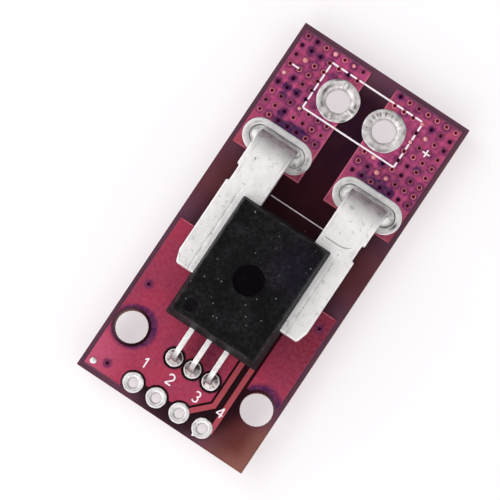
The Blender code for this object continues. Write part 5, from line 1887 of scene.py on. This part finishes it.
class SENSOR_OT_stage(SensorOperator):
    """Set up the pale floor, the soft light and the camera"""

    bl_idname = "sensor.stage"
    bl_label = "Stage"

    def build(self, context):
        stage = context.scene.sensor_stage
        self.make_floor(stage)
        self.make_light(context, stage)
        self.make_camera(context, stage)

    def make_floor(self, stage):
        half = 1.2
        across = np.linspace(-half, half, 5)
        x, y = np.meshgrid(across, across)
        points = np.stack([x, y, np.full_like(x, CAD_BOX[0].z - 0.01 * MM)], axis=-1)
        mesh = surface("floor", points, around=False)
        material = bpy.data.materials.new("pale_floor")
        material.use_nodes = True
        tree = material.node_tree
        tree.nodes.clear()
        paint = add(tree, "ShaderNodeBsdfDiffuse", {"Color": colours().floor})
        glow = add(tree, "ShaderNodeEmission", {"Color": colours().floor_shade, "Strength": 1.0})
        rays = add(tree, "ShaderNodeLightPath")
        seen = calculate(
            tree, "MAXIMUM", rays.outputs["Is Camera Ray"],
            calculate(
                tree, "MAXIMUM", rays.outputs["Is Glossy Ray"], rays.outputs["Is Transmission Ray"]
            ),
        )
        share = times(tree, seen, stage.floor_glow)
        blend = add(
            tree, "ShaderNodeMixShader", {0: share, 1: paint.outputs[0], 2: glow.outputs[0]}
        )
        output = add(tree, "ShaderNodeOutputMaterial")
        tree.links.new(blend.outputs[0], output.inputs["Surface"])
        mesh.materials.append(material)
        floor = bpy.data.objects.new("floor", mesh)
        bpy.context.scene.collection.objects.link(floor)

    def make_light(self, context, stage):
        world = bpy.data.worlds.new("even_sky")
        context.scene.world = world
        world.use_nodes = True
        tree = world.node_tree
        tree.nodes.clear()
        way = add(tree, "ShaderNodeTexCoord").outputs["Generated"]
        upright = add(tree, "ShaderNodeSeparateXYZ", {"Vector": way})
        level = scaled(
            tree, upright.outputs["Z"], math.cos(stage.dark_end), math.cos(stage.dark_start),
            stage.sky, stage.sky * stage.overhead, smooth=True,
        )
        far = scaled(tree, upright.outputs["Y"], 0.15, 0.65, 1.0, stage.far_side, smooth=True)
        sky = add(
            tree, "ShaderNodeBackground",
            {"Color": (1, 1, 1, 1), "Strength": times(tree, level, far)},
        )
        output = add(tree, "ShaderNodeOutputWorld")
        tree.links.new(sky.outputs[0], output.inputs["Surface"])
        places = {"left_softbox": (-0.40, 0.10, 0.36), "near_softbox": (-0.05, -0.45, 0.34)}
        for name, place in places.items():
            data = bpy.data.lights.new(name, "AREA")
            data.shape = "SQUARE"
            data.size = 0.30
            data.energy = stage.softbox
            lamp = bpy.data.objects.new(name, data)
            lamp.location = place
            lamp.rotation_euler = (-Vector(place)).to_track_quat("-Z", "Y").to_euler()
            context.scene.collection.objects.link(lamp)

    def make_camera(self, context, stage):
        flat = math.cos(stage.elevation)
        back = Vector((
            math.sin(stage.azimuth) * flat, -math.cos(stage.azimuth) * flat,
            math.sin(stage.elevation),
        ))
        right = Vector((math.cos(stage.heading), math.sin(stage.heading), 0.0))
        right = (right - back * right.dot(back)).normalized()
        up = back.cross(right)
        aim = Vector((stage.aim_x, stage.aim_y, COPPER_TOP))
        data = bpy.data.cameras.new("camera")
        data.lens = stage.lens
        data.sensor_width = 36.0
        data.clip_start = 0.01
        data.clip_end = 10.0
        camera = bpy.data.objects.new("camera", data)
        turn = Matrix((right, up, back)).transposed().to_4x4()
        camera.matrix_world = Matrix.Translation(aim + back * stage.distance) @ turn
        context.scene.collection.objects.link(camera)
        context.scene.camera = camera
        context.scene.view_settings.view_transform = "Standard"


class SENSOR_PT_panel(bpy.types.Panel):
    """Sidebar panel that lists the build steps and the sizes"""

    bl_label = "Sensor module"
    bl_idname = "SENSOR_PT_panel"
    bl_space_type = "VIEW_3D"
    bl_region_type = "UI"
    bl_category = "Sensor module"

    def draw(self, context):
        for step in STEPS:
            self.layout.operator(step.bl_idname)
        for group in ("sensor_sizes", "sensor_colours", "sensor_stage"):
            box = self.layout.box()
            values = getattr(context.scene, group)
            for name in values.bl_rna.properties.keys():
                if name not in ("rna_type", "name"):
                    box.prop(values, name)


STEPS = (
    SENSOR_OT_board, SENSOR_OT_rings, SENSOR_OT_vias, SENSOR_OT_print, SENSOR_OT_conductor,
    SENSOR_OT_leads, SENSOR_OT_moulding, SENSOR_OT_solder, SENSOR_OT_stage,
)
CLASSES = (SensorSizes, SensorColours, SensorStage) + STEPS + (SENSOR_PT_panel,)


def register():
    for item in CLASSES:
        bpy.utils.register_class(item)
    bpy.types.Scene.sensor_sizes = PointerProperty(type=SensorSizes)
    bpy.types.Scene.sensor_colours = PointerProperty(type=SensorColours)
    bpy.types.Scene.sensor_stage = PointerProperty(type=SensorStage)


def unregister():
    del bpy.types.Scene.sensor_stage
    del bpy.types.Scene.sensor_colours
    del bpy.types.Scene.sensor_sizes
    for item in reversed(CLASSES):
        bpy.utils.unregister_class(item)


def main():
    register()
    for step in STEPS:
        group, name = step.bl_idname.split(".")
        getattr(getattr(bpy.ops, group), name)()


if __name__ == "__main__":
    main()
